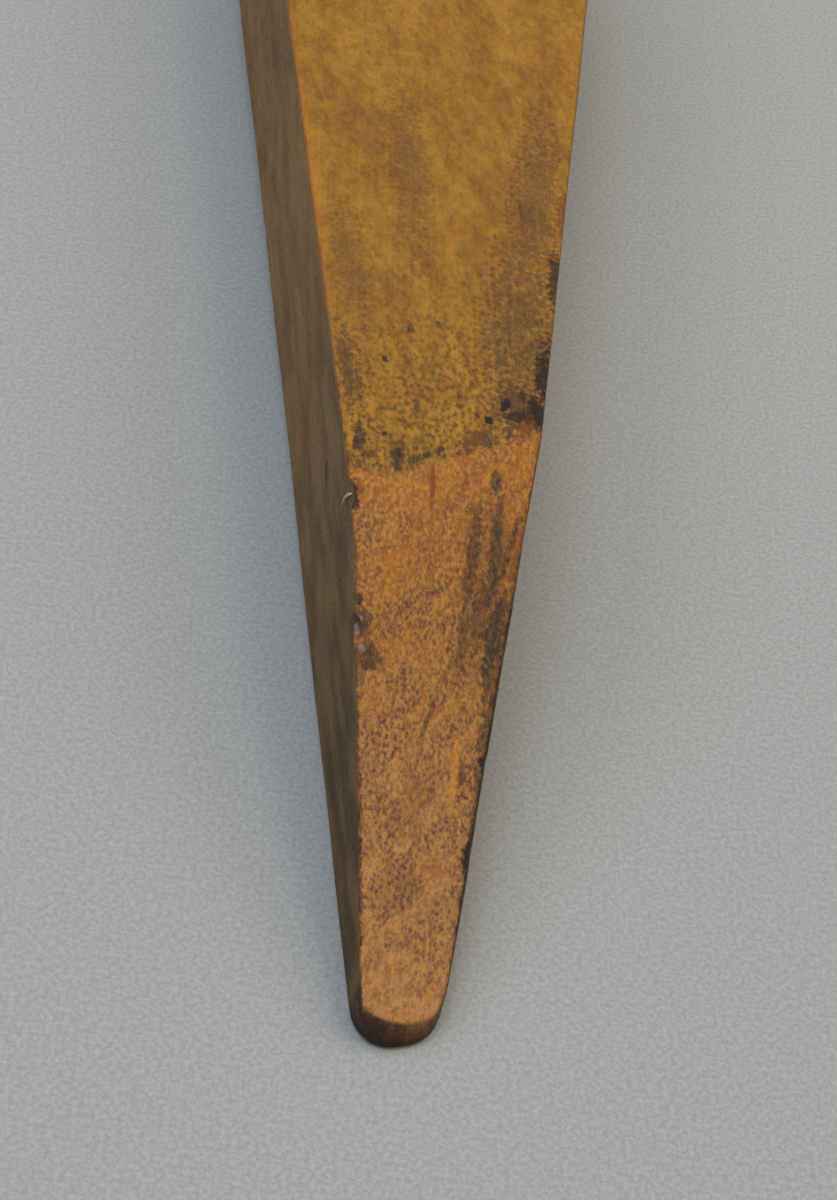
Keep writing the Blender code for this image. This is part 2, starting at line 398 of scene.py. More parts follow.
@dataclass(frozen=True)
class ToolFrame:
    """Where the tool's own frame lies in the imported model's frame.

    Attributes:
        matrix: Takes the tool's frame, in metres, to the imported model's.
    """

    matrix: Matrix

    @classmethod
    def found_in(cls, model: dict) -> "ToolFrame":
        """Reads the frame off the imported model.


        Returns:
            The tool's frame: its tilt is the underside's, and its origin is under the nose.
        """
        mounts = {mount["name"]: mount for mount in model["record"]["mounts"]}
        down = Vector(mounts["underside"]["axis"])
        tilt = Matrix.Rotation(math.atan2(down.y, -down.z), 4, "X")
        level = [tilt.inverted() @ v.co for v in model["nodes"]["blade"].data.vertices]
        corner = Vector((0, min(p.y for p in level), min(p.z for p in level)))
        return cls(tilt @ Matrix.Translation(corner))

    def settle_in(self, piece: bpy.types.Object, slot: str, *nodes: str) -> None:
        """Args:
            piece: The piece, built in the tool's frame.
            slot: Not used.
            *nodes: The CAD nodes that it stands for.
        """
        piece.matrix_world = self.matrix
        if nodes:
            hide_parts(*nodes)
        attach(piece, BODY)
        LOG.info("%s: %d faces", piece.name, len(piece.data.polygons))


# --------------------------------------------------------------------------- shader tools


class Nodes:
    """A node tree under construction."""

    def __init__(self, tree: bpy.types.NodeTree) -> None:
        """Starts on an empty or a part-built tree."""
        self.tree = tree

    def add(self, kind: str, inputs: dict | None = None, **settings: object) -> bpy.types.Node:
        """Adds a node.

        Args:
            kind: The node's type name.
            inputs: What goes into its sockets, by name or number: a value or another socket.
            **settings: The node's own properties.

        Returns:
            The new node.
        """
        node = self.tree.nodes.new(kind)
        for name, setting in settings.items():
            setattr(node, name, setting)
        for name, value in (inputs or {}).items():
            self.feed(node.inputs[name], value)
        return node

    def feed(self, socket: Socket, value: Value) -> None:
        """Links a socket into another, or sets its value.

        Args:
            socket: The input to fill.
            value: What goes into it: another socket, or a plain value.
        """
        if isinstance(value, bpy.types.NodeSocket):
            self.tree.links.new(value, socket)
        else:
            socket.default_value = value

    def math(self, operation: str, *values: Value, clamp: bool = False) -> Socket:
        """One step of arithmetic.

        Args:
            operation: The Math node's operation.
            *values: What goes into it, in order.
            clamp: True to keep the answer between 0 and 1.

        Returns:
            The answer's socket.
        """
        inputs = dict(enumerate(values))
        return self.add("ShaderNodeMath", inputs, operation=operation, use_clamp=clamp).outputs[0]

    def times(self, value: Value, factor: Value, clamp: bool = False) -> Socket:
        """value times factor."""
        return self.math("MULTIPLY", value, factor, clamp=clamp)

    def times_plus(self, value: Value, factor: Value, extra: Value) -> Socket:
        """value times factor, plus extra."""
        return self.math("MULTIPLY_ADD", value, factor, extra)

    def vector(self, operation: str, *values: Value) -> Socket:
        """One step of vector arithmetic, with the answer's vector socket."""
        node = self.add("ShaderNodeVectorMath", dict(enumerate(values)), operation=operation)
        return node.outputs["Vector"]

    def mix(self, share: Value, first: Value, second: Value) -> Socket:
        """Mixes two colours.

        Args:
            share: How much of the second colour there is.
            first: The first colour, as a socket or as red, green and blue from 0 to 255.
            second: The second colour, likewise.

        Returns:
            The mixed colour's socket.
        """
        node = self.add("ShaderNodeMix", {0: share}, data_type="RGBA", clamp_factor=True)
        for number, colour in ((6, first), (7, second)):
            value = linear(*colour) if isinstance(colour, tuple) else colour
            self.feed(node.inputs[number], value)
        return node.outputs[2]

    def noise(self, place: Value, scale: float, detail: float = 2.0, rough: float = 0.5) -> Socket:
        """Cloudy noise.

        Args:
            place: Where to look, a vector socket.
            scale: How many waves there are to a unit.
            detail: How many finer layers are added.
            rough: How strong each finer layer is.

        Returns:
            The noise's socket, from 0 to 1.
        """
        inputs = {"Vector": place, "Scale": scale, "Detail": detail, "Roughness": rough}
        return self.add("ShaderNodeTexNoise", inputs).outputs["Fac"]

    def ramp(
        self, value: Value, start: float, end: float, low: float = 0.0, high: float = 1.0
    ) -> Socket:
        """Eases a value from low at start to high at end.

        Args:
            value: What is mapped.
            start: The value that gives low.
            end: The value that gives high.
            low: The answer at start and before it.
            high: The answer at end and past it.

        Returns:
            The answer's socket.
        """
        if start > end:
            start, end, low, high = end, start, high, low
        inputs = {0: value, 1: start, 2: end, 3: low, 4: high}
        node = self.add("ShaderNodeMapRange", inputs, interpolation_type="SMOOTHSTEP")
        return node.outputs[0]

    def split(self, place: Value) -> tuple[Socket, Socket, Socket]:
        """The X, Y and Z of a vector."""
        node = self.add("ShaderNodeSeparateXYZ", {0: place})
        return node.outputs[0], node.outputs[1], node.outputs[2]

    def join(self, x: Value, y: Value, z: Value) -> Socket:
        """A vector made of its X, Y and Z."""
        return self.add("ShaderNodeCombineXYZ", {0: x, 1: y, 2: z}).outputs[0]

    def use(self, group: bpy.types.NodeTree, inputs: dict[str, Value]) -> bpy.types.Node:
        """Places a node group, with its inputs filled in.

        Args:
            group: The group.
            inputs: What goes into its inputs, by name.

        Returns:
            The group's node.
        """
        node = self.add("ShaderNodeGroup", node_tree=group)
        for name, value in inputs.items():
            self.feed(node.inputs[name], value)
        return node


class SocketKind(Enum):
    """What a group's socket carries."""

    NUMBER = "NodeSocketFloat"
    VECTOR = "NodeSocketVector"


class Effects:
    """The surface effects that several finishes share, each a node group built once."""

    def __init__(self) -> None:
        """Builds every group."""
        self.figure = self._build_figure()
        self.specks = self._build_specks()
        self.smudge = self._build_smudge()
        self.end_grain = self._build_end_grain()
        self.edge_wear = self._build_edge_wear()

    @staticmethod
    def _start(
        name: str, vectors: Sequence[str], numbers: Sequence[str], outputs: Sequence[str]
    ) -> tuple[Nodes, bpy.types.Node, bpy.types.Node]:
        """Makes an empty group.

        Args:
            name: The group's name.
            vectors: The names of the inputs that take a vector.
            numbers: The names of the inputs that take a number.
            outputs: The names of the outputs, which all give a number.

        Returns:
            The tree, its input node and its output node.
        """
        tree = bpy.data.node_groups.new(name, "ShaderNodeTree")
        for side, kind, names in (
            ("INPUT", SocketKind.VECTOR, vectors),
            ("INPUT", SocketKind.NUMBER, numbers),
            ("OUTPUT", SocketKind.NUMBER, outputs),
        ):
            for socket in names:
                tree.interface.new_socket(socket, in_out=side, socket_type=kind.value)
        nodes = Nodes(tree)
        return nodes, nodes.add("NodeGroupInput"), nodes.add("NodeGroupOutput")

    def _build_figure(self) -> bpy.types.NodeTree:
        """Growth rings and fibres, with the grain along Y.

        Returns:
            A group that gives Rings, Fibres and Clouds, each from 0 to 1.
        """
        nodes, given, result = self._start(
            "wood figure", ["Place"], ["Ring Width"], ["Rings", "Fibres", "Clouds"]
        )
        place = given.outputs["Place"]
        drawn_out = nodes.vector("MULTIPLY", place, (1.0, 0.035, 1.0))
        bend = nodes.noise(drawn_out, 0.16, 2.0)
        x, _, z = nodes.split(place)
        depth = nodes.times_plus(z, 0.55, nodes.times(x, 0.35))
        depth = nodes.times_plus(bend, 9.0, depth)
        turns = nodes.math("DIVIDE", depth, given.outputs["Ring Width"])
        ring = nodes.math("FRACT", turns)
        rise = nodes.ramp(ring, 0.0, 0.82)
        fall = nodes.ramp(ring, 0.9, 1.0, 1.0, 0.0)
        nodes.feed(result.inputs["Rings"], nodes.times(rise, fall))
        fibres = nodes.noise(drawn_out, 2.6, 4.0, 0.62)
        nodes.feed(result.inputs["Fibres"], nodes.ramp(fibres, 0.3, 0.7))
        cloudy = nodes.vector("MULTIPLY", place, (1.0, 0.32, 1.0))
        nodes.feed(result.inputs["Clouds"], nodes.ramp(nodes.noise(cloudy, 0.3, 3.0), 0.32, 0.68))
        return nodes.tree

    def _build_specks(self) -> bpy.types.NodeTree:
        """Pores that hold dirt: short dark specks, scattered through the wood.

        Returns:
            A group that gives Specks, from 0 to 1.
        """
        nodes, given, result = self._start(
            "pore specks", ["Place"], ["Spacing", "Length", "Size"], ["Specks"]
        )
        place, spacing = given.outputs["Place"], given.outputs["Spacing"]
        shaken = nodes.add("ShaderNodeTexNoise", {"Vector": place, "Scale": 2.1, "Detail": 1.0})
        push = nodes.vector("MULTIPLY_ADD", shaken.outputs["Color"], (0.5,) * 3, (-0.25,) * 3)
        moved = nodes.vector("ADD", place, push)
        long_step = nodes.times(spacing, given.outputs["Length"])
        steps = nodes.join(spacing, long_step, spacing)
        cell = nodes.add(
            "ShaderNodeTexVoronoi", {"Vector": nodes.vector("DIVIDE", moved, steps), "Scale": 1.0}
        )
        chance = nodes.split(cell.outputs["Color"])[0]
        radius = nodes.times(nodes.times_plus(chance, 0.85, 0.25), given.outputs["Size"])
        nearness = nodes.math("SUBTRACT", radius, cell.outputs["Distance"])
        nodes.feed(result.inputs["Specks"], nodes.ramp(nearness, -0.06, 0.2))
        return nodes.tree

    def _build_smudge(self) -> bpy.types.NodeTree:
        """One stain: a ragged oval that lies flat and is turned about Z.

        Returns:
            A group that gives Mask, from 0 to 1.
        """
        nodes, given, result = self._start(
            "smudge", ["Place", "Centre", "Reach"], ["Turn", "Raggedness", "Strength"], ["Mask"]
        )
        offset = nodes.vector("SUBTRACT", given.outputs["Place"], given.outputs["Centre"])
        turn = nodes.add(
            "ShaderNodeVectorRotate",
            {"Vector": offset, "Angle": given.outputs["Turn"]},
            rotation_type="Z_AXIS",
        )
        scaled = nodes.vector("DIVIDE", turn.outputs[0], given.outputs["Reach"])
        distance = nodes.add("ShaderNodeVectorMath", {0: scaled}, operation="LENGTH")
        edge = nodes.math("ADD", distance.outputs["Value"], given.outputs["Raggedness"])
        mask = nodes.ramp(edge, 1.15, 0.55)
        nodes.feed(result.inputs["Mask"], nodes.times(mask, given.outputs["Strength"]))
        return nodes.tree

    def _build_end_grain(self) -> bpy.types.NodeTree:
        """Where the fibres are cut across, and the look of their ends.

        Returns:
            A group that gives Share, how far a surface is end grain, and Tone, its figure.
        """
        nodes, given, result = self._start(
            "end grain", ["Place", "Facing"], ["Ring Width"], ["Share", "Tone"]
        )
        _, along, _ = nodes.split(given.outputs["Facing"])
        share = nodes.ramp(nodes.math("ABSOLUTE", along), 0.62, 0.9)
        nodes.feed(result.inputs["Share"], share)
        x, _, z = nodes.split(given.outputs["Place"])
        flat = nodes.join(x, 0.0, nodes.math("ADD", z, 46.0))
        out = nodes.add("ShaderNodeVectorMath", {0: flat}, operation="LENGTH").outputs["Value"]
        shaken = nodes.times_plus(nodes.noise(flat, 0.25, 2.0), 2.2, out)
        ring = nodes.math("FRACT", nodes.math("DIVIDE", shaken, given.outputs["Ring Width"]))
        rays = nodes.noise(nodes.vector("MULTIPLY", flat, (2.6, 1.0, 0.25)), 1.0, 3.0)
        pits = nodes.noise(flat, 3.1, 2.0)
        tone = nodes.times_plus(ring, 0.45, nodes.times(rays, 0.5))
        tone = nodes.times_plus(pits, 0.35, nodes.math("SUBTRACT", tone, 0.15))
        nodes.feed(result.inputs["Tone"], tone)
        return nodes.tree

    def _build_edge_wear(self) -> bpy.types.NodeTree:
        """How far an arris is rubbed, from the distance to it.

        Returns:
            A group that gives Rubbed, wide and soft, and Line, a thin broken line on the arris.
        """
        nodes, given, result = self._start(
            "edge wear", ["Place"], ["Distance", "Width"], ["Rubbed", "Line"]
        )
        uneven = nodes.noise(given.outputs["Place"], 0.45, 4.0, 0.6)
        share = nodes.math("DIVIDE", given.outputs["Distance"], given.outputs["Width"])
        shaken = nodes.times_plus(uneven, 2.4, nodes.math("SUBTRACT", share, 1.2))
        nodes.feed(result.inputs["Rubbed"], nodes.ramp(shaken, 1.0, 0.0))
        broken = nodes.times_plus(uneven, 2.1, nodes.times(share, 2.2))
        nodes.feed(result.inputs["Line"], nodes.ramp(broken, 1.6, 1.0))
        return nodes.tree


# --------------------------------------------------------------------------- finishes


class Grain(Enum):
    """Which of the tool's axes a piece's fibres run along."""

    ACROSS = "X"
    ALONG = "Y"
    THROUGH = "Z"


@dataclass(frozen=True)
class Wood:
    """One wood and its wear: plain side grain, end grain, pores and grime.

    Attributes:
        name: The material's name.
        grain: The way the fibres run.
        pale: The colour of the palest fibres.
        deep: The colour of the darkest fibres.
        pore: The colour of dirt in the pores.
        end: The colour of end grain.
        ring_width: One year's growth, in millimetres.
        roughness: How dull the surface is.
        grime: How much dirt there is, from 0 to 1.
    """

    name: str
    grain: Grain
    pale: tuple[int, int, int]
    deep: tuple[int, int, int]
    pore: tuple[int, int, int]
    end: tuple[int, int, int]
    ring_width: float = 3.4
    roughness: float = 0.5
    grime: float = 0.5

    def along_grain(self, nodes: Nodes, place: Value) -> Socket:
        """Turns a vector so that the fibres run along its Y.

        Args:
            nodes: The tree.
            place: The vector in the tool's frame.

        Returns:
            The turned vector's socket.
        """
        x, y, z = nodes.split(place)
        order = {
            Grain.ACROSS: (y, x, z),
            Grain.ALONG: (x, y, z),
            Grain.THROUGH: (x, z, y),
        }[self.grain]
        return nodes.join(*order)

    def start(self) -> tuple[bpy.types.Material, Nodes, bpy.types.Node, Socket, Socket]:
        """Makes the material's shell.

        Returns:
            The material, its tree, its Principled shader, and the place in millimetres and
            the facing, both with the fibres along Y.
        """
        material = bpy.data.materials.new(self.name)
        material.use_nodes = True
        nodes = Nodes(material.node_tree)
        shader = material.node_tree.nodes["Principled BSDF"]
        shader.inputs["IOR"].default_value = 1.42
        where = nodes.add("ShaderNodeTexCoord")
        scaled = nodes.vector("MULTIPLY", where.outputs["Object"], (1 / MM,) * 3)
        facing = self.along_grain(nodes, where.outputs["Normal"])
        return material, nodes, shader, self.along_grain(nodes, scaled), facing

    def end_grain(
        self, nodes: Nodes, effects: Effects, place: Socket, facing: Socket
    ) -> tuple[Socket, Socket]:
        """The look of the wood where its fibres are cut across.

        Args:
            nodes: The tree.
            effects: The shared node groups.
            place: The place in millimetres, with the fibres along Y.
            facing: The way the surface faces, in the same axes.

        Returns:
            How far each point is end grain, and its colour there.
        """
        ends = nodes.use(
            effects.end_grain, {"Place": place, "Facing": facing, "Ring Width": self.ring_width}
        )
        colour = nodes.mix(ends.outputs["Tone"], self.end, self.pore)
        return ends.outputs["Share"], colour

    def build(self, effects: Effects) -> bpy.types.Material:
        """Makes the finish.

        Args:
            effects: The shared node groups.

        Returns:
            The material.
        """
        material, nodes, shader, place, facing = self.start()
        figure = nodes.use(effects.figure, {"Place": place, "Ring Width": self.ring_width})
        specks = nodes.use(
            effects.specks, {"Place": place, "Spacing": 0.75, "Length": 3.2, "Size": 0.42}
        )
        tone = nodes.times(figure.outputs["Rings"], 0.4)
        tone = nodes.times_plus(figure.outputs["Fibres"], 0.4, tone)
        tone = nodes.times_plus(figure.outputs["Clouds"], 0.35, tone)
        colour = nodes.mix(tone, self.pale, self.deep)
        cut, end_colour = self.end_grain(nodes, effects, place, facing)
        colour = nodes.mix(cut, colour, end_colour)
        dirt = nodes.times(specks.outputs["Specks"], 0.35 + 0.4 * self.grime)
        colour = nodes.mix(dirt, colour, self.pore)
        grimy = nodes.noise(place, 0.11, 5.0, 0.65)
        grimy = nodes.times(nodes.ramp(grimy, 0.5, 0.74), self.grime)
        colour = nodes.mix(grimy, colour, self.pore)
        nodes.feed(shader.inputs["Base Color"], colour)
        worn = nodes.times_plus(figure.outputs["Fibres"], 0.14, self.roughness - 0.07)
        nodes.feed(shader.inputs["Roughness"], worn)
        height = nodes.times(figure.outputs["Fibres"], 0.5)
        height = nodes.math("SUBTRACT", height, specks.outputs["Specks"])
        bump = nodes.add(
            "ShaderNodeBump", {"Height": height, "Strength": 0.45, "Distance": 0.00012}
        )
        nodes.feed(shader.inputs["Normal"], bump.outputs[0])
        return material


class Tint(Enum):
    """The blade's lesser colours, each laid over its wood by a mask."""

    SIDE_SOIL = (62, 47, 34)
    HANDLED = (112, 70, 28)
    UPPER_RED = (134, 78, 28)
    UPPER_BRIGHT = (184, 138, 50)
    FACET_RED = (146, 78, 40)
    FACET_DIRT = (110, 78, 60)
    FACET_PORE = (84, 54, 46)
    FACET_BRIGHT = (194, 140, 62)
    RUBBED_ARRIS = (176, 100, 30)
    DIRTY_ARRIS = (48, 32, 30)
    NOSE_BROWN = (134, 88, 54)
    NOSE_PORE = (40, 29, 23)
    # NOSE_FOOT_SHADE is painted shade, not soil: it darkens the nose towards the floor, where
    # shadow falls.
    NOSE_FOOT_SHADE = (42, 31, 25)


class Stain(Enum):
    """The kinds of mark that use has left on the blade, with their colours."""

    UMBER = (80, 54, 36)
    OLIVE = (66, 52, 34)
    RUST = (116, 58, 26)
    BARE = (196, 130, 46)
    SOIL = (36, 27, 22)
    BRUISE = (150, 134, 136)


@dataclass(frozen=True)
class Smudge:
    """One mark on a face of the blade.

    Attributes:
        x: Its centre across the blade, in millimetres. On the sides it is the centre's height,
            below zero on the left side.
        y: Its centre from the nose.
        across: Its half width.
        along: Its half length.
        lean: How far its far end leans towards +X, in degrees.
        strength: How strong it is, from 0 to 1.
        ragged: How uneven its outline is.
    """

    x: float
    y: float
    across: float
    along: float
    lean: float = 0.0
    strength: float = 0.9
    ragged: float = 1.0


Marks = dict[Stain, Sequence[tuple[float, ...]]]


@dataclass(frozen=True)
class WornBlade(Wood):
    """The blade's finish: the same wood, with a tide line, a scraped facet and soil stains.

    Attributes:
        facet_pale: The scraped facet's palest colour.
        facet_deep: The scraped facet's darkest colour.
        facet_dry: The paler, drier colour of the facet near the nose.
        side_pale: The palest colour of the weathered sides.
        side_deep: The darkest colour of the weathered sides.
        nose: The colour of the soil-black nose.
        tide_y: Where the scraped facet ends along the blade, in millimetres.
        tide_bend_x: Where across the blade that edge, the tide line, starts to climb.
        tide_climb: How fast it climbs towards +X.
        top_marks: The tables of marks on the upper face and the facet.
        side_marks: The tables of marks on the sides.
    """

    facet_pale: tuple[int, int, int] = (169, 107, 28)
    facet_deep: tuple[int, int, int] = (138, 86, 42)
    facet_dry: tuple[int, int, int] = (183, 132, 83)
    side_pale: tuple[int, int, int] = (140, 111, 67)
    side_deep: tuple[int, int, int] = (100, 74, 43)
    nose: tuple[int, int, int] = (72, 48, 37)
    tide_y: float = 51.0
    tide_bend_x: float = -4.5
    tide_climb: float = 0.62
    top_marks: tuple[Marks, ...] = ()
    side_marks: tuple[Marks, ...] = ()

    def build(self, effects: Effects) -> bpy.types.Material:
        """Makes the finish.

        Args:
            effects: The shared node groups.

        Returns:
            The material.
        """
        material, nodes, shader, place, facing = self.start()
        shader.inputs["Specular IOR Level"].default_value = 0.28
        figure = nodes.use(effects.figure, {"Place": place, "Ring Width": self.ring_width})
        fibres, clouds = figure.outputs["Fibres"], figure.outputs["Clouds"]
        x, y, z = nodes.split(place)
        _, _, upward = nodes.split(facing)

        past_bend = nodes.math("MAXIMUM", nodes.math("ADD", x, -self.tide_bend_x), 0.0)
        climb = nodes.times(past_bend, self.tide_climb)
        shaken = nodes.times_plus(nodes.noise(place, 0.6, 6.0, 0.75), 4.6, -2.3)
        line = nodes.math("ADD", nodes.math("ADD", climb, self.tide_y), shaken)
        past = nodes.math("SUBTRACT", y, line)
        scraped = nodes.ramp(past, 0.7, -0.7)

        upper = self._upper_colour(nodes, place, past, fibres)
        facet = self._facet_colour(nodes, place, y, fibres)
        colour = nodes.mix(scraped, upper, facet)
        flat = nodes.vector("MULTIPLY", place, (1.0, 1.0, 0.0))
        colour = self._add_smudges(nodes, effects, flat, self.top_marks, fibres, colour)

        tone = nodes.times_plus(fibres, 0.45, nodes.times(clouds, 0.45))
        grey = nodes.mix(tone, self.side_pale, self.side_deep)
        soiled = nodes.times(nodes.ramp(y, 105.0, 4.0), nodes.ramp(clouds, 0.0, 1.0, 0.5, 0.85))
        grey = nodes.mix(soiled, grey, Tint.SIDE_SOIL.value)
        upright = nodes.join(nodes.times(z, nodes.math("SIGN", x)), y, 0.0)
        grey = self._add_smudges(nodes, effects, upright, self.side_marks, fibres, grey)
        held = nodes.times(nodes.ramp(y, 165.0, 225.0), 0.4)
        colour = nodes.mix(held, colour, Tint.HANDLED.value)
        cut, end_colour = self.end_grain(nodes, effects, place, facing)
        sawn = nodes.times(cut, nodes.ramp(y, 240.0, 246.0))
        sideways = nodes.ramp(upward, 0.75, 0.45)
        colour = nodes.mix(sideways, colour, grey)
        colour = nodes.mix(sawn, colour, end_colour)
        colour = self._wear_edges(nodes, effects, place, colour)

        nodes.feed(shader.inputs["Base Color"], colour)
        pores = self._pores(nodes, place, 3.2, 0.0)
        dull = nodes.times_plus(fibres, 0.12, self.roughness)
        nodes.feed(shader.inputs["Roughness"], nodes.times_plus(pores, 0.15, dull))
        fine = nodes.noise(place, 3.4, 3.0, 0.6)
        height = nodes.times_plus(fibres, 0.5, nodes.times(fine, 0.5))
        height = nodes.math("SUBTRACT", height, nodes.times(pores, 0.9))
        bump = nodes.add("ShaderNodeBump", {"Height": height, "Strength": 0.5, "Distance": 0.00013})
        nodes.feed(shader.inputs["Normal"], bump.outputs[0])
        return material

    @staticmethod
    def _turned(nodes: Nodes, place: Socket, degrees: float, squeeze: float) -> Socket:
        """Turns the place about Z and squeezes it along its new Y, so that noise is drawn out.

        Args:
            nodes: The tree.
            place: The place in millimetres.
            degrees: How far it is turned.
            squeeze: How much shorter it is made along the new Y.

        Returns:
            The turned place's socket.
        """
        turn = nodes.add(
            "ShaderNodeVectorRotate",
            {"Vector": place, "Angle": math.radians(degrees)},
            rotation_type="Z_AXIS",
        )
        return nodes.vector("MULTIPLY", turn.outputs[0], (1.0, squeeze, 1.0))

    def _pores(self, nodes: Nodes, place: Socket, fineness: float, seed: float) -> Socket:
        """Small close specks, a little longer than wide.

        Args:
            nodes: The tree.
            place: The place in millimetres.
            fineness: How many specks there are to a millimetre.
            seed: Picks one scatter among many.

        Returns:
            The mask's socket.
        """
        drawn = nodes.vector("MULTIPLY_ADD", place, (1.0, 0.66, 0.66), (seed,) * 3)
        return nodes.ramp(nodes.noise(drawn, fineness, 1.6, 0.55), 0.42, 0.66)

    def _upper_colour(self, nodes: Nodes, place: Socket, past: Socket, fibres: Socket) -> Socket:
        """The golden face above the tide line, mottled brown, most of all near that line.

        Args:
            nodes: The tree.
            place: The place in millimetres.
            past: How far beyond the tide line each point is.
            fibres: The fibres' share.

        Returns:
            The colour's socket.
        """
        near = nodes.ramp(past, 34.0, 3.0, 0.3, 1.0)
        leaning = self._turned(nodes, place, -15.0, 0.5)
        patch = nodes.ramp(nodes.noise(leaning, 0.75, 4.0, 0.6), 0.38, 0.66)
        broad = nodes.ramp(nodes.noise(leaning, 0.2, 3.0), 0.36, 0.66)
        strong = nodes.times_plus(near, 0.3, 0.36)
        tone = nodes.times(broad, 0.34)
        tone = nodes.times_plus(patch, strong, tone)
        tone = nodes.times_plus(fibres, 0.12, tone)
        colour = nodes.mix(tone, self.pale, self.deep)
        red = nodes.times(nodes.ramp(nodes.noise(leaning, 0.3, 4.0), 0.48, 0.7), 0.45)
        colour = nodes.mix(red, colour, Tint.UPPER_RED.value)
        flecks = nodes.times(self._pores(nodes, place, 2.2, 17.0), near)
        colour = nodes.mix(nodes.times(flecks, 0.72), colour, self.pore)
        bright = nodes.times(self._pores(nodes, place, 1.5, 41.0), near)
        colour = nodes.mix(nodes.times(bright, 0.35), colour, Tint.UPPER_BRIGHT.value)
        dashes = nodes.noise(nodes.vector("MULTIPLY", place, (1.0, 0.4, 1.0)), 1.7, 3.0, 0.6)
        tide = nodes.times(nodes.ramp(past, -0.5, 0.3), nodes.ramp(past, 5.0, 0.6))
        tide = nodes.times(tide, nodes.ramp(dashes, 0.47, 0.6, 0.0, 0.85))
        return nodes.mix(tide, colour, Stain.OLIVE.value)

    def _facet_colour(self, nodes: Nodes, place: Socket, y: Socket, fibres: Socket) -> Socket:
        """The scraped facet: orange-brown, with close dark pores in slanting rows.

        Args:
            nodes: The tree.
            place: The place in millimetres.
            y: How far along the blade each point is.
            fibres: The fibres' share.

        Returns:
            The colour's socket.
        """
        drawn = nodes.vector("MULTIPLY", place, (1.0, 0.5, 0.5))
        fine = nodes.ramp(nodes.noise(drawn, 1.3, 5.0, 0.7), 0.34, 0.68)
        tone = nodes.times_plus(fine, 0.65, nodes.times(fibres, 0.25))
        pale = nodes.mix(nodes.ramp(y, 44.0, 10.0), self.facet_pale, self.facet_dry)
        colour = nodes.mix(tone, pale, self.facet_deep)
        red = nodes.times(nodes.ramp(nodes.noise(place, 0.3, 4.0), 0.46, 0.68), 0.45)
        colour = nodes.mix(red, colour, Tint.FACET_RED.value)
        rows = nodes.noise(self._turned(nodes, place, 35.0, 0.24), 0.6, 3.0, 0.6)
        gathered = nodes.ramp(rows, 0.38, 0.6, 0.2, 1.0)
        lower = nodes.times(nodes.ramp(y, 52.0, 36.0, 0.5, 1.0), nodes.ramp(y, 1.0, 9.0, 0.3, 1.0))
        dirty = nodes.times(nodes.times(gathered, lower), 0.4)
        colour = nodes.mix(dirty, colour, Tint.FACET_DIRT.value)
        pores = nodes.times(self._pores(nodes, place, 3.2, 0.0), gathered)
        pores = nodes.times(pores, nodes.times(lower, 0.9))
        colour = nodes.mix(pores, colour, Tint.FACET_PORE.value)
        bright = nodes.times(self._pores(nodes, place, 2.4, 63.0), 0.45)
        return nodes.mix(bright, colour, Tint.FACET_BRIGHT.value)

    def _add_smudges(
        self,
        nodes: Nodes,
        effects: Effects,
        place: Socket,
        tables: Sequence[Marks],
        fibres: Socket,
        colour: Socket,
    ) -> Socket:
        """Lays stains on one of the blade's faces.

        Args:
            nodes: The tree.
            effects: The shared node groups.
            place: The place on that face, in millimetres, with nothing in its Z.
            tables: The tables of marks on that face.
            fibres: The fibres' share, which breaks long stains into streaks.
            colour: The clean colour.

        Returns:
            The stained colour's socket.
        """
        uneven = nodes.math("SUBTRACT", nodes.noise(place, 1.5, 5.0, 0.68), 0.5)
        pores = self._pores(nodes, place, 2.0, 5.0)
        for stain in Stain:
            total: Value = 0.0
            for row in (row for table in tables for row in table.get(stain, ())):
                smudge = Smudge(*row)
                mask = nodes.use(
                    effects.smudge,
                    {
                        "Place": place,
                        "Centre": (smudge.x, smudge.y, 0.0),
                        "Reach": (smudge.across, smudge.along, 1.0),
                        "Turn": math.radians(smudge.lean),
                        "Raggedness": nodes.times(uneven, 2.2 * smudge.ragged),
                        "Strength": smudge.strength,
                    },
                )
                total = nodes.math("MAXIMUM", total, mask.outputs["Mask"])
            if stain in (Stain.UMBER, Stain.OLIVE):
                broken = nodes.times_plus(fibres, 0.3, nodes.ramp(pores, 0, 1, 0.62, 1.0))
                total = nodes.times(total, broken, clamp=True)
            colour = nodes.mix(total, colour, stain.value)
        return colour

    def _wear_edges(self, nodes: Nodes, effects: Effects, place: Socket, colour: Socket) -> Socket:
        """Rubs the arrises, draws the dirty line on them, darkens the nose with soil and paints
        shade on the nose's foot.

        Args:
            nodes: The tree.
            effects: The shared node groups.
            place: The place in millimetres.
            colour: The colour so far.

        Returns:
            The colour's socket.
        """
        distance = nodes.add("ShaderNodeAttribute", attribute_name="arris").outputs["Fac"]
        x, y, z = nodes.split(place)
        width = nodes.ramp(x, 0.0, 2.0, 0.9, 1.3)
        wear = nodes.use(effects.edge_wear, {"Place": place, "Distance": distance, "Width": width})
        rubbed = nodes.times(wear.outputs["Rubbed"], nodes.ramp(x, -2.0, 2.0, 0.5, 0.0))
        rubbed = nodes.times(rubbed, nodes.ramp(y, 55.0, 90.0, 0.2, 1.0))
        colour = nodes.mix(rubbed, colour, Tint.RUBBED_ARRIS.value)
        dirty = nodes.times(wear.outputs["Line"], nodes.ramp(y, 75.0, 50.0, 0.3, 0.85))
        colour = nodes.mix(dirty, colour, Tint.DIRTY_ARRIS.value)
        front = nodes.add("ShaderNodeAttribute", attribute_name="nose").outputs["Fac"]
        uneven = nodes.times_plus(nodes.noise(place, 1.4, 4.0, 0.6), 1.2, 0.4)
        leftward = nodes.times_plus(x, -0.06, uneven)
        black = nodes.ramp(nodes.times(front, leftward), 0.1, 0.85, 0.0, 0.95)
        browner = nodes.times_plus(nodes.noise(place, 0.8, 3.0), 6.0, x)
        soil = nodes.mix(nodes.ramp(browner, 1.4, 6.4), self.nose, Tint.NOSE_BROWN.value)
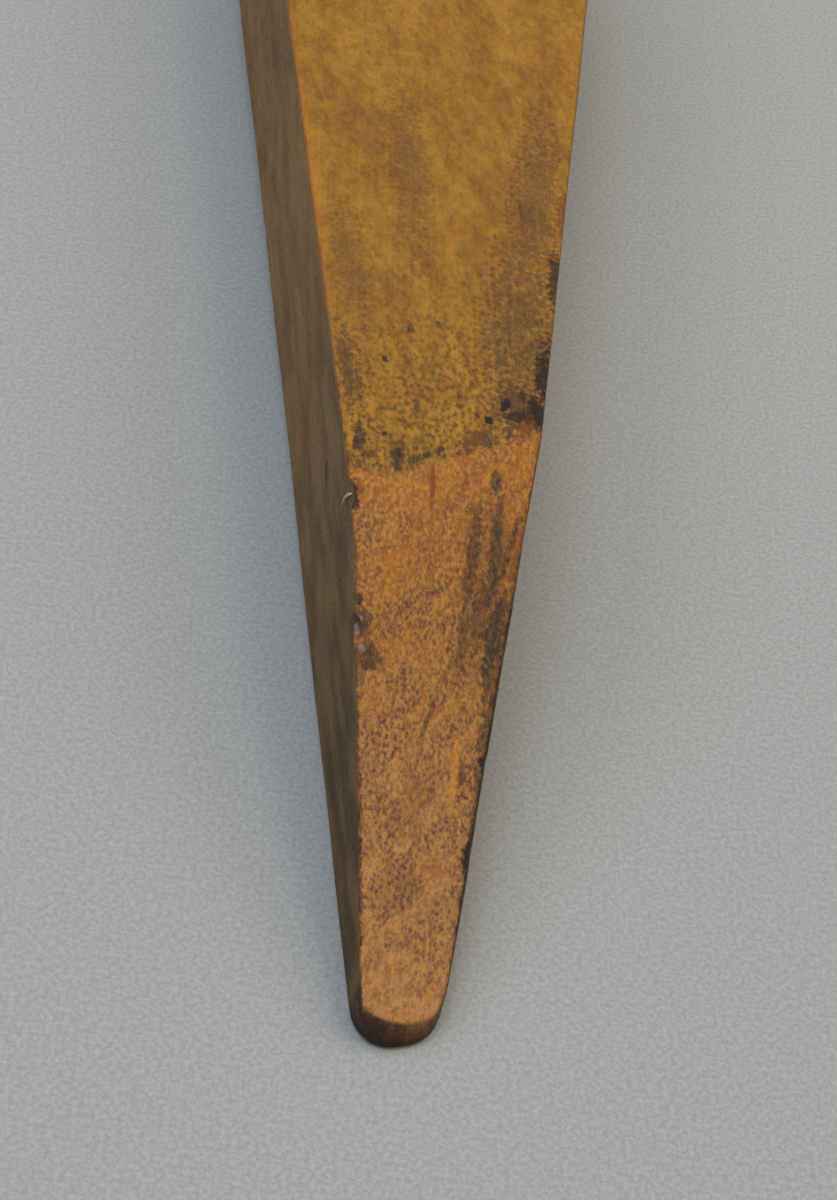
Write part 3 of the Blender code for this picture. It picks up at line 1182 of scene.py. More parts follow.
        specks = nodes.times(self._pores(nodes, place, 1.6, 9.0), 0.6)
        soil = nodes.mix(specks, soil, Tint.NOSE_PORE.value)
        # Painted shade: the nose grows darker towards its foot, near the floor, where shadow falls.
        soil = nodes.mix(nodes.ramp(z, 2.3, 0.4, 0.0, 0.8), soil, Tint.NOSE_FOOT_SHADE.value)
        return nodes.mix(black, colour, soil)


# Each row holds the fields of one Smudge, in their order.

UPPER_MARKS: Marks = {
    Stain.SOIL: (
        (12.8, 84.5, 0.9, 5.0, 4, 0.8),
        (11.3, 68.4, 1.5, 5.4, 3, 0.9, 1.6),
        (10.2, 62.8, 1.2, 2.6, -16, 0.9, 1.2),
        (3.8, 61.2, 0.3, 0.4, 0, 0.7),
        (4.9, 60.8, 0.55, 0.7, 0, 0.95, 0.6),
        (6.7, 63.4, 0.6, 1.2, 12, 0.95, 0.8),
        (7.8, 61.9, 1.4, 0.9, -20, 0.75, 1.3),
        (9.0, 62.3, 1.2, 1.1, 0, 0.7, 1.3),
        (8.6, 65.0, 0.5, 0.8, -20, 0.7),
        (-5.9, 67.4, 0.4, 0.5, 0, 0.8),
        (-8.8, 54.2, 0.4, 0.9, 0, 0.7),
        (-4.4, 54.0, 0.3, 0.7, 0, 0.6),
        (-6.0, 56.4, 0.25, 0.4, 0, 0.8),
        (-1.5, 54.4, 0.35, 0.6, 20, 0.8),
        (-0.1, 55.6, 0.4, 0.5, 0, 0.7),
    ),
    Stain.OLIVE: (
        (-3.2, 72.6, 0.45, 0.8, 0, 0.95),
        (-0.2, 73.8, 0.35, 0.7, 0, 0.8),
        (-8.4, 55.6, 0.7, 2.1, -4, 1.0, 0.8),
        (-4.5, 53.2, 0.6, 1.9, -4, 1.0, 0.8),
        (-7.2, 53.2, 0.4, 0.6, 0, 0.9),
        (-2.8, 53.6, 0.4, 0.7, 0, 0.9),
    ),
    Stain.UMBER: (
        (-9.7, 65.0, 1.2, 6.0, -6, 0.75, 2.0),
        (4.6, 58.4, 1.4, 1.4, 0, 0.75, 1.2),
        (8.4, 63.6, 3.6, 3.8, 0, 0.9, 1.2),
        (8.4, 76.0, 3.6, 15.0, 4, 0.62, 2.4),
        (10.4, 71.0, 1.8, 8.0, 4, 0.7, 2.0),
        (-3.3, 98.0, 2.4, 16.0, -3, 0.45, 1.8),
        (-9.5, 82.0, 2.2, 9.0, -6, 0.4, 2.0),
        (10.8, 96.0, 3.0, 16.0, 5, 0.6, 2.0),
    ),
    Stain.RUST: (
        (3.2, 57.0, 3.2, 0.8, -62, 0.45, 1.8),
        (8.6, 60.0, 2.4, 0.9, -70, 0.6, 1.8),
        (14.4, 96.0, 1.0, 4.5, 6, 0.7),
    ),
}

FACET_MARKS: Marks = {
    Stain.RUST: (
        (-0.95, 50.8, 0.35, 3.0, 0, 0.8, 0.6),
        (8.9, 47.6, 0.8, 5.0, 12, 0.55, 1.2),
        (-8.3, 48.6, 0.5, 1.4, -6, 0.7),
    ),
    Stain.OLIVE: (
        (5.8, 53.2, 0.75, 1.5, 4, 0.85, 0.7),
        (6.2, 46.0, 0.8, 6.4, 2, 0.85, 0.7),
        (6.6, 38.0, 1.0, 5.2, 8, 1.0, 0.8),
    ),
    Stain.UMBER: (
        (4.4, 49.6, 0.6, 2.4, 70, 0.6, 1.0),
        (5.6, 42.0, 3.2, 11.0, 6, 0.42, 1.2),
        (3.8, 44.5, 0.9, 6.6, 4, 0.9, 0.8),
        (3.4, 36.5, 0.8, 4.4, 4, 0.75, 1.2),
        (6.95, 28.5, 0.75, 24.0, 6.1, 0.95, 0.8),
        (-5.75, 17.0, 0.4, 15.0, -6.3, 0.9, 1.3),
        (-8.3, 40.5, 0.3, 5.0, -6.3, 0.7, 1.0),
        (5.0, 39.5, 1.2, 5.0, 6, 0.85, 1.0),
        (7.6, 46.6, 0.5, 5.6, 14, 0.9, 0.7),
        (6.6, 33.8, 1.0, 3.4, 6, 0.85, 1.0),
        (7.4, 36.0, 0.8, 5.6, 10, 0.85),
        (6.9, 29.6, 1.3, 6.0, 8, 0.9, 1.2),
        (4.3, 24.1, 0.55, 1.1, 10, 0.75),
        (-7.1, 34.6, 1.2, 1.8, -6, 0.95, 0.9),
        (-6.5, 31.8, 2.0, 1.6, 0, 1.0, 0.8),
        (-7.0, 29.4, 0.7, 1.0, 0, 0.6),
        (0.4, 28.0, 0.3, 3.4, 18, 0.75, 0.6),
        (2.3, 33.8, 0.28, 3.0, 18, 0.5, 0.6),
        (-0.4, 12.4, 1.8, 2.0, 30, 0.45, 1.5),
        (-0.5, 20.0, 1.8, 5.0, 30, 0.3, 1.8),
    ),
    Stain.SOIL: (
        (8.4, 40.0, 0.45, 4.0, 12, 0.85),
        (6.2, 25.8, 0.4, 0.5, 0, 0.9),
        (5.6, 16.8, 0.8, 1.9, 8, 0.95),
        (7.0, 28.0, 0.4, 20.0, 6.35, 0.85, 1.0),
        (-4.5, 6.4, 0.25, 0.6, -6, 0.8),
        (-5.4, 14.6, 0.3, 0.9, -6, 0.8),
        (-6.7, 26.2, 0.3, 0.5, -6, 0.8),
        (5.5, 11.4, 0.45, 2.6, 8, 0.8),
        (-8.8, 47.4, 0.5, 2.4, -6, 0.95),
        (-7.6, 36.8, 0.6, 0.6, 0, 0.9),
    ),
    Stain.BRUISE: (
        (-7.3, 34.6, 0.3, 0.8, 0, 0.5),
        (-6.9, 32.3, 0.5, 0.4, 0, 0.45),
    ),
    Stain.BARE: (
        (3.5, 23.6, 0.5, 4.0, 2, 0.5, 0.7),
    ),
}

SIDE_MARKS: Marks = {
    Stain.SOIL: (
        (-14.3, 57.3, 0.4, 1.5, -8, 0.75, 0.8),
        (-7.0, 36.0, 0.3, 0.8, 0, 0.5),
        (20.0, 70.0, 0.9, 4.0, 0, 0.8),
        (11.0, 41.0, 0.6, 3.0, 10, 0.6),
    ),
    Stain.UMBER: (
        (-17.5, 73.0, 1.2, 6.0, 4, 0.4, 1.8),
        (-6.0, 92.0, 1.8, 9.0, -3, 0.35, 2.0),
        (-3.0, 22.0, 1.6, 12.0, 0, 0.5, 1.8),
        (-14.0, 128.0, 2.0, 14.0, 2, 0.35, 2.0),
        (15.5, 66.0, 2.4, 8.0, 4, 0.6, 1.6),
        (5.0, 24.0, 2.0, 10.0, 6, 0.55, 1.8),
        (9.0, 112.0, 2.2, 16.0, -3, 0.35, 2.0),
        (14.0, 182.0, 3.0, 12.0, 3, 0.35, 2.0),
    ),
}


# --------------------------------------------------------------------------- the joint


@dataclass(frozen=True)
class TenonJoint:
    """The split tenon, its two wedges and its peg, with the sizes that they share.

    Sizes are in millimetres.

    Attributes:
        gap: The room between pieces that touch in the real tool.
        crown_depth: How far the grip's crown is planed down from round.
        proud: How far the tenon stands out of the crown.
        root: How far the tenon's block reaches into the blade, and cutters reach past the end.
        leaf: The thickness of the tenon's outer leaves.
    """

    shoulder_y: float = 250.0
    middle_z: float = 11.0
    gap: float = 0.3
    boss_radius: float = 17.0
    seat_margin: float = 0.6
    crown_depth: float = 1.2
    width: float = 22.0
    thickness: float = 12.0
    proud: float = 0.8
    root: float = 6.0
    leaf: float = 4.2
    wedge_length: float = 19.0
    wedge_head: float = 2.8
    wedge_point: float = 1.0
    wedge_proud: float = 0.4
    peg_radius: float = 3.2
    peg_proud: float = 0.5
    peg_recess: float = 0.6

    @property
    def seat_distance(self) -> float:
        """From the grip's axis to the seat that the shoulder bears on."""
        return math.sqrt(self.boss_radius**2 - (self.middle_z + self.seat_margin) ** 2)

    @property
    def axis_y(self) -> float:
        """Where the grip's axis lies along the blade."""
        return self.shoulder_y + self.gap + self.seat_distance

    @property
    def crown_y(self) -> float:
        """Where the grip's planed crown lies."""
        return self.axis_y + self.boss_radius - self.crown_depth

    @property
    def end_y(self) -> float:
        """Where the tenon ends."""
        return self.crown_y + self.proud

    @property
    def kerf_y(self) -> float:
        """Where the two saw kerfs in the tenon end."""
        return self.end_y - self.wedge_length - self.gap

    @property
    def kerf_x(self) -> float:
        """The inner side of each kerf."""
        return self.width / 2 - self.leaf - self.wedge_point - 2 * self.gap

    @property
    def lean(self) -> float:
        """How fast the wedges widen."""
        return (self.wedge_head - self.wedge_point) / (self.end_y - self.kerf_y)

    def half_at(self, y: float) -> float:
        """Half the spread tenon's width at y."""
        return self.width / 2 + self.lean * max(y - self.kerf_y, 0.0)

    def spread_block(self, name: str, end_y: float, margin: float) -> bpy.types.Object:
        """A block shaped like the spread tenon.

        Args:
            name: The block's name.
            end_y: Where it ends.
            margin: How much larger than the tenon it is, all round.

        Returns:
            The block.
        """
        places = [self.shoulder_y - self.root, self.kerf_y, end_y]
        right = [(self.half_at(y) + margin, y) for y in places]
        left = [(-x, y) for x, y in reversed(right)]
        low = self.middle_z - self.thickness / 2 - margin
        return prism(name, right + left, low, low + self.thickness + 2 * margin)

    def tenon_block(self) -> bpy.types.Object:
        """The solid tenon, to be joined to the blade."""
        return self.spread_block("tenon_block", self.end_y, 0.0)

    def mortise_block(self) -> bpy.types.Object:
        """The cutter of the grip's flared mortise."""
        return self.spread_block("mortise", self.end_y + self.root, self.gap)

    def kerf_block(self, side: int) -> bpy.types.Object:
        """The cutter of one kerf.

        Args:
            side: -1 or 1.

        Returns:
            The cutter.
        """
        past = self.end_y + self.root
        outer = [(self.half_at(y) - self.leaf, y) for y in (self.kerf_y, past)]
        outline = [(self.kerf_x, self.kerf_y), *outer, (self.kerf_x, past)]
        if side < 0:
            outline = [(-x, y) for x, y in reversed(outline)]
        return prism("kerf", outline, self.middle_z - self.width, self.middle_z + self.width)

    def bar(self, name: str, rings: Sequence[tuple[float, float]], sides: int) -> bpy.types.Object:
        """A round bar along Z through the grip's axis.

        Args:
            name: The bar's name.
            rings: Its profile, as (z, radius) pairs from low to high.
            sides: How many points go round it.

        Returns:
            The new object.
        """
        points, faces = turned(rings, sides)
        x, y, z = points.T
        return new_piece(name, np.stack([-z, self.axis_y + y, x], -1), faces)

    def peg_hole(self) -> bpy.types.Object:
        """The cutter of the hole that the peg fills.

        Returns:
            The cutter.
        """
        reach, radius = 2 * self.boss_radius, self.peg_radius + self.gap
        low, high = self.middle_z - reach, self.middle_z + reach
        return self.bar("peg_hole", [(low, radius), (high, radius)], 48)

    def build_wedge(self, name: str, side: int) -> bpy.types.Object:
        """One wedge, its head bruised by the mallet.

        Args:
            name: The wedge's name.
            side: -1 or 1.

        Returns:
            The wedge.
        """
        inner = self.kerf_x + self.gap
        point_y, head_y = self.kerf_y + self.gap, self.end_y + self.wedge_proud
        steps_y = np.linspace(point_y, head_y, 40)
        steps_x, steps_z = np.linspace(0, 1, 9), crowded(24, 0.4) * self.thickness / 2
        points, faces = box_skin(steps_x, steps_y, steps_z)
        share, y, z = points.T
        wide = self.wedge_point + self.lean * (y - self.kerf_y)
        placed = np.stack([side * (inner + share * wide), y, self.middle_z + z], -1)
        if side < 0:
            faces = [tuple(reversed(face)) for face in faces]
        head = smooth_step(y, head_y - 0.8, head_y)
        placed[:, 1] -= head * (0.22 + 0.3 * wobble(placed, 1.6, 3.0 + side))
        wedge = new_piece(name, placed, faces)
        soften(wedge, 0.12)
        smooth_shade(wedge)
        return wedge

    def build_peg(self) -> bpy.types.Object:
        """The locking peg: whittled, a little out of round, and chamfered by knife.

        Returns:
            The peg.
        """
        low = self.middle_z - self.boss_radius + self.peg_recess
        high = self.middle_z + self.boss_radius + self.peg_proud
        radius, chamfer = self.peg_radius, 0.5
        shank = [(z, radius) for z in np.linspace(low + chamfer, high - chamfer, 60)]
        caps = [(0.45 * radius, 0.0), (0.8 * radius, 0.06), (radius - chamfer, 0.16)]
        bottom = [(low + drop, r) for r, drop in caps]
        top = [(high - drop, r) for r, drop in reversed(caps)]
        peg = self.bar("peg", bottom + shank + top, 48)
        points = read_points(peg)
        middle = np.array([0.0, self.axis_y, 0.0])
        out = (points - middle) * np.array([1, 1, 0])
        facets = np.abs(np.cos(4.5 * np.arctan2(out[:, 1], out[:, 0])))
        shave = 0.06 * facets + 0.05 * np.abs(wobble(points, 2.4, 8.0))
        write_points(peg, points - unit(out) * shave[:, None])
        smooth_shade(peg)
        return peg


# --------------------------------------------------------------------------- the blade


@dataclass(frozen=True)
class Chip:
    """A flake lost from an arris, as the oval hollow that it left.

    Attributes:
        centre: Its middle, in millimetres.
        reach: Its half sizes.
    """

    centre: tuple[float, float, float]
    reach: tuple[float, float, float]


@dataclass
class Blade:
    """The blade with its tenon, cut from one stick.

    Sizes are in millimetres.

    Attributes:
        joint: The joint at its far end.
        nose_length: How far from the taper's start the worn nose reaches.
        nose_y: Where the nose ends, beyond the taper's start.
        handhold_ease: Over what length the arrises grow round towards the handhold.
        left_arris: The radius of the crisp arris between the left side and the top.
        arris: The radius of the other arrises.
        chip_edge: The radius of the rims where flakes are lost.
        chips: The flakes lost from its arrises.
    """

    joint: TenonJoint
    length: float = 250.0
    thickness: float = 22.0
    taper_length: float = 160.0
    tip_width: float = 7.8
    shank_width: float = 43.4
    shoulder_width: float = 34.0
    facet_length: float = 51.5
    facet_tilt: float = math.radians(17.0)
    tip_thickness: float = 2.8
    nose_length: float = 3.2
    nose_y: float = -1.0
    handhold_length: float = 50.0
    handhold_ease: float = 22.0
    handhold_radius: float = 4.0
    left_arris: float = 0.38
    arris: float = 0.5
    chip_edge: float = 0.12
    chips: tuple[Chip, ...] = (
        Chip((-9.6, 47.3, 21.6), (0.75, 2.4, 1.0)),
        Chip((-8.3, 36.8, 18.6), (0.7, 0.7, 0.8)),
        Chip((-7.9, 33.2, 17.6), (1.1, 2.6, 0.9)),
        Chip((-11.2, 62.0, 22.5), (0.5, 3.0, 0.8)),
        Chip((13.4, 84.0, 22.3), (0.6, 4.0, 0.7)),
        Chip((11.8, 67.5, 22.3), (0.7, 3.5, 0.7)),
        Chip((8.8, 40.5, 15.9), (0.5, 2.6, 0.6)),
        Chip((7.0, 25.5, 10.3), (0.5, 1.2, 0.6)),
        Chip((6.1, 16.6, 7.2), (0.45, 1.4, 0.6)),
        Chip((-22.0, 150.0, 22.3), (1.0, 3.6, 0.9)),
        Chip((21.9, 171.0, -0.2), (1.0, 5.0, 0.9)),
        Chip((-16.2, 110.0, -0.3), (0.9, 3.0, 0.8)),
    )

    @property
    def facet_slope(self) -> float:
        """How fast the facet rises from the nose."""
        return (self.thickness - self.tip_thickness) / self.facet_length

    def half_width(self, y: np.ndarray) -> np.ndarray:
        """Half the blade's width at each y: the taper, then the narrowing shank.

        Args:
            y: Places along the blade.

        Returns:
            Half the width at each of them.
        """
        taper = (self.tip_width + (self.shank_width - self.tip_width) * y / self.taper_length) / 2
        narrowing = smooth_step(y, self.taper_length, self.length)
        shank = (self.shank_width - (self.shank_width - self.shoulder_width) * narrowing) / 2
        return -smooth_max(-taper, -shank, 0.5)

    def facet_height(self, x: np.ndarray, y: np.ndarray) -> np.ndarray:
        """How high the facet's plane is at each place."""
        return self.tip_thickness - math.tan(self.facet_tilt) * x + self.facet_slope * y

    def faces(self, points: Points) -> dict[str, np.ndarray]:
        """How far outside each of the blade's faces the points are.

        Args:
            points: The points.

        Returns:
            A signed distance for each face, negative on its inner side.
        """
        x, y, z = points.T
        upright = 1 / math.sqrt(1 + math.tan(self.facet_tilt) ** 2 + self.facet_slope**2)
        half = self.half_width(y)
        # The nose has two blunt planes, both leaning back as they rise.
        return {
            "left": -x - half,
            "right": x - half,
            "under": 0.3 * smooth_step(-y, -4.0, 0.5) - z,
            "upper": z - self.thickness,
            "facet": (z - self.facet_height(x, y)) * upright,
            "front": (0.22 * z - y - 1.08) / 1.02,
            "front_right": (0.85 * (x - 1.8) + 0.36 * (z - 0.5) - y - 0.7) / 1.38,
            "shoulder": y - self.length,
        }

    def surface(self, points: Points) -> np.ndarray:
        """The blade's field: zero on its skin and negative inside.

        Args:
            points: The points.

        Returns:
            One value for each point.
        """
        x, y, z = points.T
        face = self.faces(points)
        held = self.length - self.handhold_length
        worn = smooth_step(y, held - self.handhold_ease, held) * (self.handhold_radius - 0.4)
        front_worn = worn + 0.5 * smooth_step(-y, -3.0, -0.8)
        crease = 0.35 + 2.4 * smooth_step(-x, -2.0, 9.0)
        top = smooth_max(face["upper"], face["facet"], crease)
        nose = smooth_max(face["front"], face["front_right"], 1.8)
        left = round_max(face["left"], nose, 1.5 + 2.0 * smooth_step(-z, -4.0, -0.5))
        right = round_max(face["right"], nose, 1.9)
        body = round_max(left, top, self.left_arris + front_worn)
        body = round_max(right, body, self.arris + front_worn)
        body = round_max(face["under"], body, self.arris + worn)
        body = round_max(face["shoulder"], body, self.arris)
        for chip in self.chips:
            offset = (points - np.array(chip.centre)) / np.array(chip.reach)
            hollow = (np.linalg.norm(offset, axis=1) - 1) * min(chip.reach)
            body = round_max(body, -hollow, self.chip_edge)
        return body

    def arris_distance(self, points: Points) -> np.ndarray:
        """How far each point is from the nearest of the blade's long arrises.

        Args:
            points: The points.

        Returns:
            One distance for each point.
        """
        face = self.faces(points)
        top = np.maximum(face["upper"], face["facet"])
        sides = np.maximum(face["left"], face["right"])
        ranked = np.sort(np.stack([sides, top, face["under"]], -1), axis=1)
        return np.maximum(-ranked[:, 1], 0.0)

    def nose_share(self, points: Points) -> np.ndarray:
        """How far each point belongs to the worn front of the nose, from 0 to 1.

        Args:
            points: The points.

        Returns:
            One share for each point.
        """
        slope = unit(gradient(self.surface, points))
        face = self.faces(points)
        front = smooth_step(-slope[:, 1], 0.34, 0.85) * smooth_step(-points[:, 1], -7.0, -4.5)
        side = smooth_step(-slope[:, 0], 0.3, 0.7) * smooth_step(-points[:, 1], -4.6, -1.0)
        crept = 0.6 * smooth_step(np.maximum(face["front"], face["front_right"]), -1.0, -0.1)
        return np.maximum.reduce([front, side, crept])

    def texture(self, points: Points) -> np.ndarray:
        """How far hand tools and wear have moved the skin, in millimetres outwards.

        Args:
            points: The points.

        Returns:
            One distance for each point.
        """
        y = points[:, 1]
        broad = 0.16 * wobble(points, 17.0, 1.0, 1.6)
        strokes = 0.07 * wobble(points, 3.6, 5.0, 7.0)
        fine = 0.022 * wobble(points, 0.9, 9.0, 2.5)
        beyond = smooth_step(y, self.length - 3.0, self.length - 0.5)
        near = smooth_step(y, 1.0, 12.0)
        return (broad * near + strokes * (0.4 + 0.6 * near) + fine) * (1 - beyond)

    def build(self) -> bpy.types.Object:
        """Makes the blade's mesh, with its tenon, kerfs and peg hole.

        Returns:
            The blade.
        """
        reach = self.nose_length - self.nose_y
        nose = self.nose_y + reach * np.linspace(0, 1, 18) ** 1.4
        near = np.arange(self.nose_length, 66.0, 0.42)[1:]
        middle = np.arange(near[-1], 165.0, 0.75)[1:]
        far = np.linspace(middle[-1], self.length, 60)[1:]
        along = np.concatenate([nose, near, middle, far])
        points, faces = box_skin(crowded(70, 0.5), along, crowded(38, 0.72))
        u, y, w = points.T
        short = np.clip((self.nose_length - y) / reach, 0.0, 1.0)
        x = u * self.half_width(y) * np.sqrt(1 - (1 - 0.45**2) * short**2)
        top = np.minimum(self.thickness, self.facet_height(x, y))
        placed = np.stack([x, y, (w + 1) / 2 * top], -1)
        placed = settle(self.surface, placed)
        outward = unit(gradient(self.surface, placed))
        placed = placed + outward * self.texture(placed)[:, None]
        blade = new_piece("dibber_blade", placed, faces)
        combine(
            blade,
            [
                ("UNION", self.joint.tenon_block()),
                ("DIFFERENCE", self.joint.kerf_block(-1)),
                ("DIFFERENCE", self.joint.kerf_block(1)),
                ("DIFFERENCE", self.joint.peg_hole()),
            ],
        )
        found = read_points(blade)
        paint(blade, "arris", self.arris_distance(found))
        paint(blade, "nose", self.nose_share(found))
        smooth_shade(blade, 40.0)
        return blade


@dataclass(frozen=True)
class TornFibres:
    """A few fibres torn out of the notch in the left arris, which hang over the side.

    Attributes:
        root: Where they leave the wood, in millimetres.
        tips: Where each one ends.
        lift: How far they bow outwards on their way.
        radius: How thick they are at the root.
    """

    root: tuple[float, float, float] = (-8.95, 47.9, 21.5)
    tips: tuple[tuple[float, float, float], ...] = (
        (-9.75, 47.2, 19.2),
        (-9.6, 47.7, 20.0),
        (-9.5, 48.0, 19.4),
    )
    lift: float = 0.3
    radius: float = 0.05

    def build(self) -> bpy.types.Object:
        """Makes the fibres as tapering round strands.

        Returns:
            The fibres, as one mesh.
        """
        steps, sides = 12, 6
        points: list[Points] = []
        faces: list[tuple[int, ...]] = []
        for tip in self.tips:
            faces += tube_faces(steps, sides, len(points))
            for share in np.linspace(0.0, 1.0, steps):
                bow = self.lift * math.sin(math.pi * share)
                middle = np.array(self.root) * (1 - share) + np.array(tip) * share
                middle = middle + np.array([-bow, 0.3 * bow, bow])
                thick = self.radius * (1 - 0.7 * share)
                for angle in np.arange(sides) * math.tau / sides:
                    ring = (0.6 * math.cos(angle), math.sin(angle), -0.8 * math.cos(angle))
                    points.append(middle + thick * np.array(ring))
        fibres = new_piece("torn_fibres", np.array(points), faces)
        smooth_shade(fibres, 60.0)
        return fibres


# --------------------------------------------------------------------------- the grip


@dataclass
class CrossGrip:
    """The turned grip, with its seat, crown, mortise and peg hole.

    Sizes are in millimetres.

    Attributes:
        joint: The joint that it holds.
    """

    joint: TenonJoint
    length: float = 130.0
    waist_radius: float = 13.8
    swell_radius: float = 17.6
    boss_half: float = 19.5
    waist_from_end: float = 32.0
    swell_from_end: float = 12.0
    dome: float = 8.5
    end_radius: float = 4.0
    shoulder_width: float = 34.0

    def radius(self, x: np.ndarray) -> np.ndarray:
        """The turned radius at each x: boss, waist, swell, then the domed end.

        Args:
            x: Places along the grip, from its middle.

        Returns:
            The radius at each of them.
        """
        end = self.length / 2
        waist, swell = end - self.waist_from_end, end - self.swell_from_end
        out = np.abs(x)
        boss = self.joint.boss_radius
        found = boss + (self.waist_radius - boss) * smooth_step(out, self.boss_half, waist)
        found = found + (self.swell_radius - self.waist_radius) * smooth_step(out, waist, swell)
        into = np.maximum((out - (end - self.dome)) / self.dome, 0.0)
        kept = np.sqrt(np.maximum(1 - into**2, 0.0))
        return self.end_radius + (found - self.end_radius) * kept

    def end_rings(self) -> list[tuple[float, float]]:
        """The slightly hollow flat at one end, where the lathe's centre held it."""
        shares = ((0.12, 0.5), (0.3, 0.34), (0.55, 0.12), (0.8, 0.02))
        return [(depth, share * self.end_radius) for share, depth in shares]

    def build(self) -> bpy.types.Object:
        """Makes the grip's mesh.

        Returns:
            The grip.
        """
        end = self.length / 2
        places = end * np.sin(np.linspace(-math.pi / 2, math.pi / 2, 201))
        profile = list(zip(places, self.radius(places)))
        first = [(-end + depth, r) for depth, r in self.end_rings()]
        last = [(end - depth, r) for depth, r in reversed(self.end_rings())]
        points, faces = turned(first + profile + last, 160)
        x, y, z = points.T
        grooves = 0.035 * np.sin(x * 5.1 + 0.6 * np.sin(x * 0.7)) * (np.abs(x) < end - 6)
        uneven = 0.14 * wobble(points, 21.0, 2.0) + 0.03 * wobble(points, 3.0, 6.0)
        out = np.stack([0 * x, y, z], -1)
        bore = smooth_step(np.linalg.norm(out, axis=1), 3.0, 8.0)
        points = points + unit(out) * ((grooves + uneven) * bore)[:, None]
        points = points + np.array([0, self.joint.axis_y, self.joint.middle_z])
        grip = new_piece("turned_grip", points, faces)
        combine(grip, [("DIFFERENCE", block) for block in self.cutters()])
        smooth_shade(grip, 30.0)
        return grip

    def cutters(self) -> list[bpy.types.Object]:
        """The blocks that shape the grip round its joint.

        Returns:
            The cutters of the seat, the crown, the mortise and the peg's hole.
        """
        joint = self.joint
        half = self.shoulder_width / 2 + joint.seat_margin
        boss = joint.boss_radius
        seat_y = joint.axis_y - joint.seat_distance
        below, above = joint.middle_z - 2 * boss, joint.middle_z + 2 * boss
        seat = [(-half, seat_y - boss), (half, seat_y - boss), (half, seat_y), (-half, seat_y)]
        far = joint.crown_y + 2 * boss
        crown = [(-half, joint.crown_y), (half, joint.crown_y), (half, far), (-half, far)]
        return [
            prism("seat", seat, below, above),
            prism("crown", crown, below, above),
            joint.mortise_block(),
            joint.peg_hole(),
        ]


# --------------------------------------------------------------------------- the stage


@dataclass(frozen=True)
class SoftLight:
    """One wide, soft lamp.

    Attributes:
        name: Its name.
        place: Where it is, in metres.
        power: Its power, in watts.
        colour: Its colour.
        target: What it points at.
        size: Its side, in metres.
    """

    name: str
    place: tuple[float, float, float]
    power: float
    colour: tuple[float, float, float] = (1.0, 1.0, 1.0)
    target: tuple[float, float, float] = (0.0, -0.05, 0.0)
    size: float = 1.0

    def build(self) -> None:
        """Adds the lamp."""
        data = bpy.data.lights.new(self.name, "AREA")
        data.shape = "SQUARE"
        data.size = self.size
        data.energy = self.power
        data.color = self.colour
        lamp = bpy.data.objects.new(self.name, data)
        lamp.location = self.place
        aim = Vector(self.target) - Vector(self.place)
        lamp.rotation_euler = aim.to_track_quat("-Z", "Y").to_euler()
        bpy.context.scene.collection.objects.link(lamp)


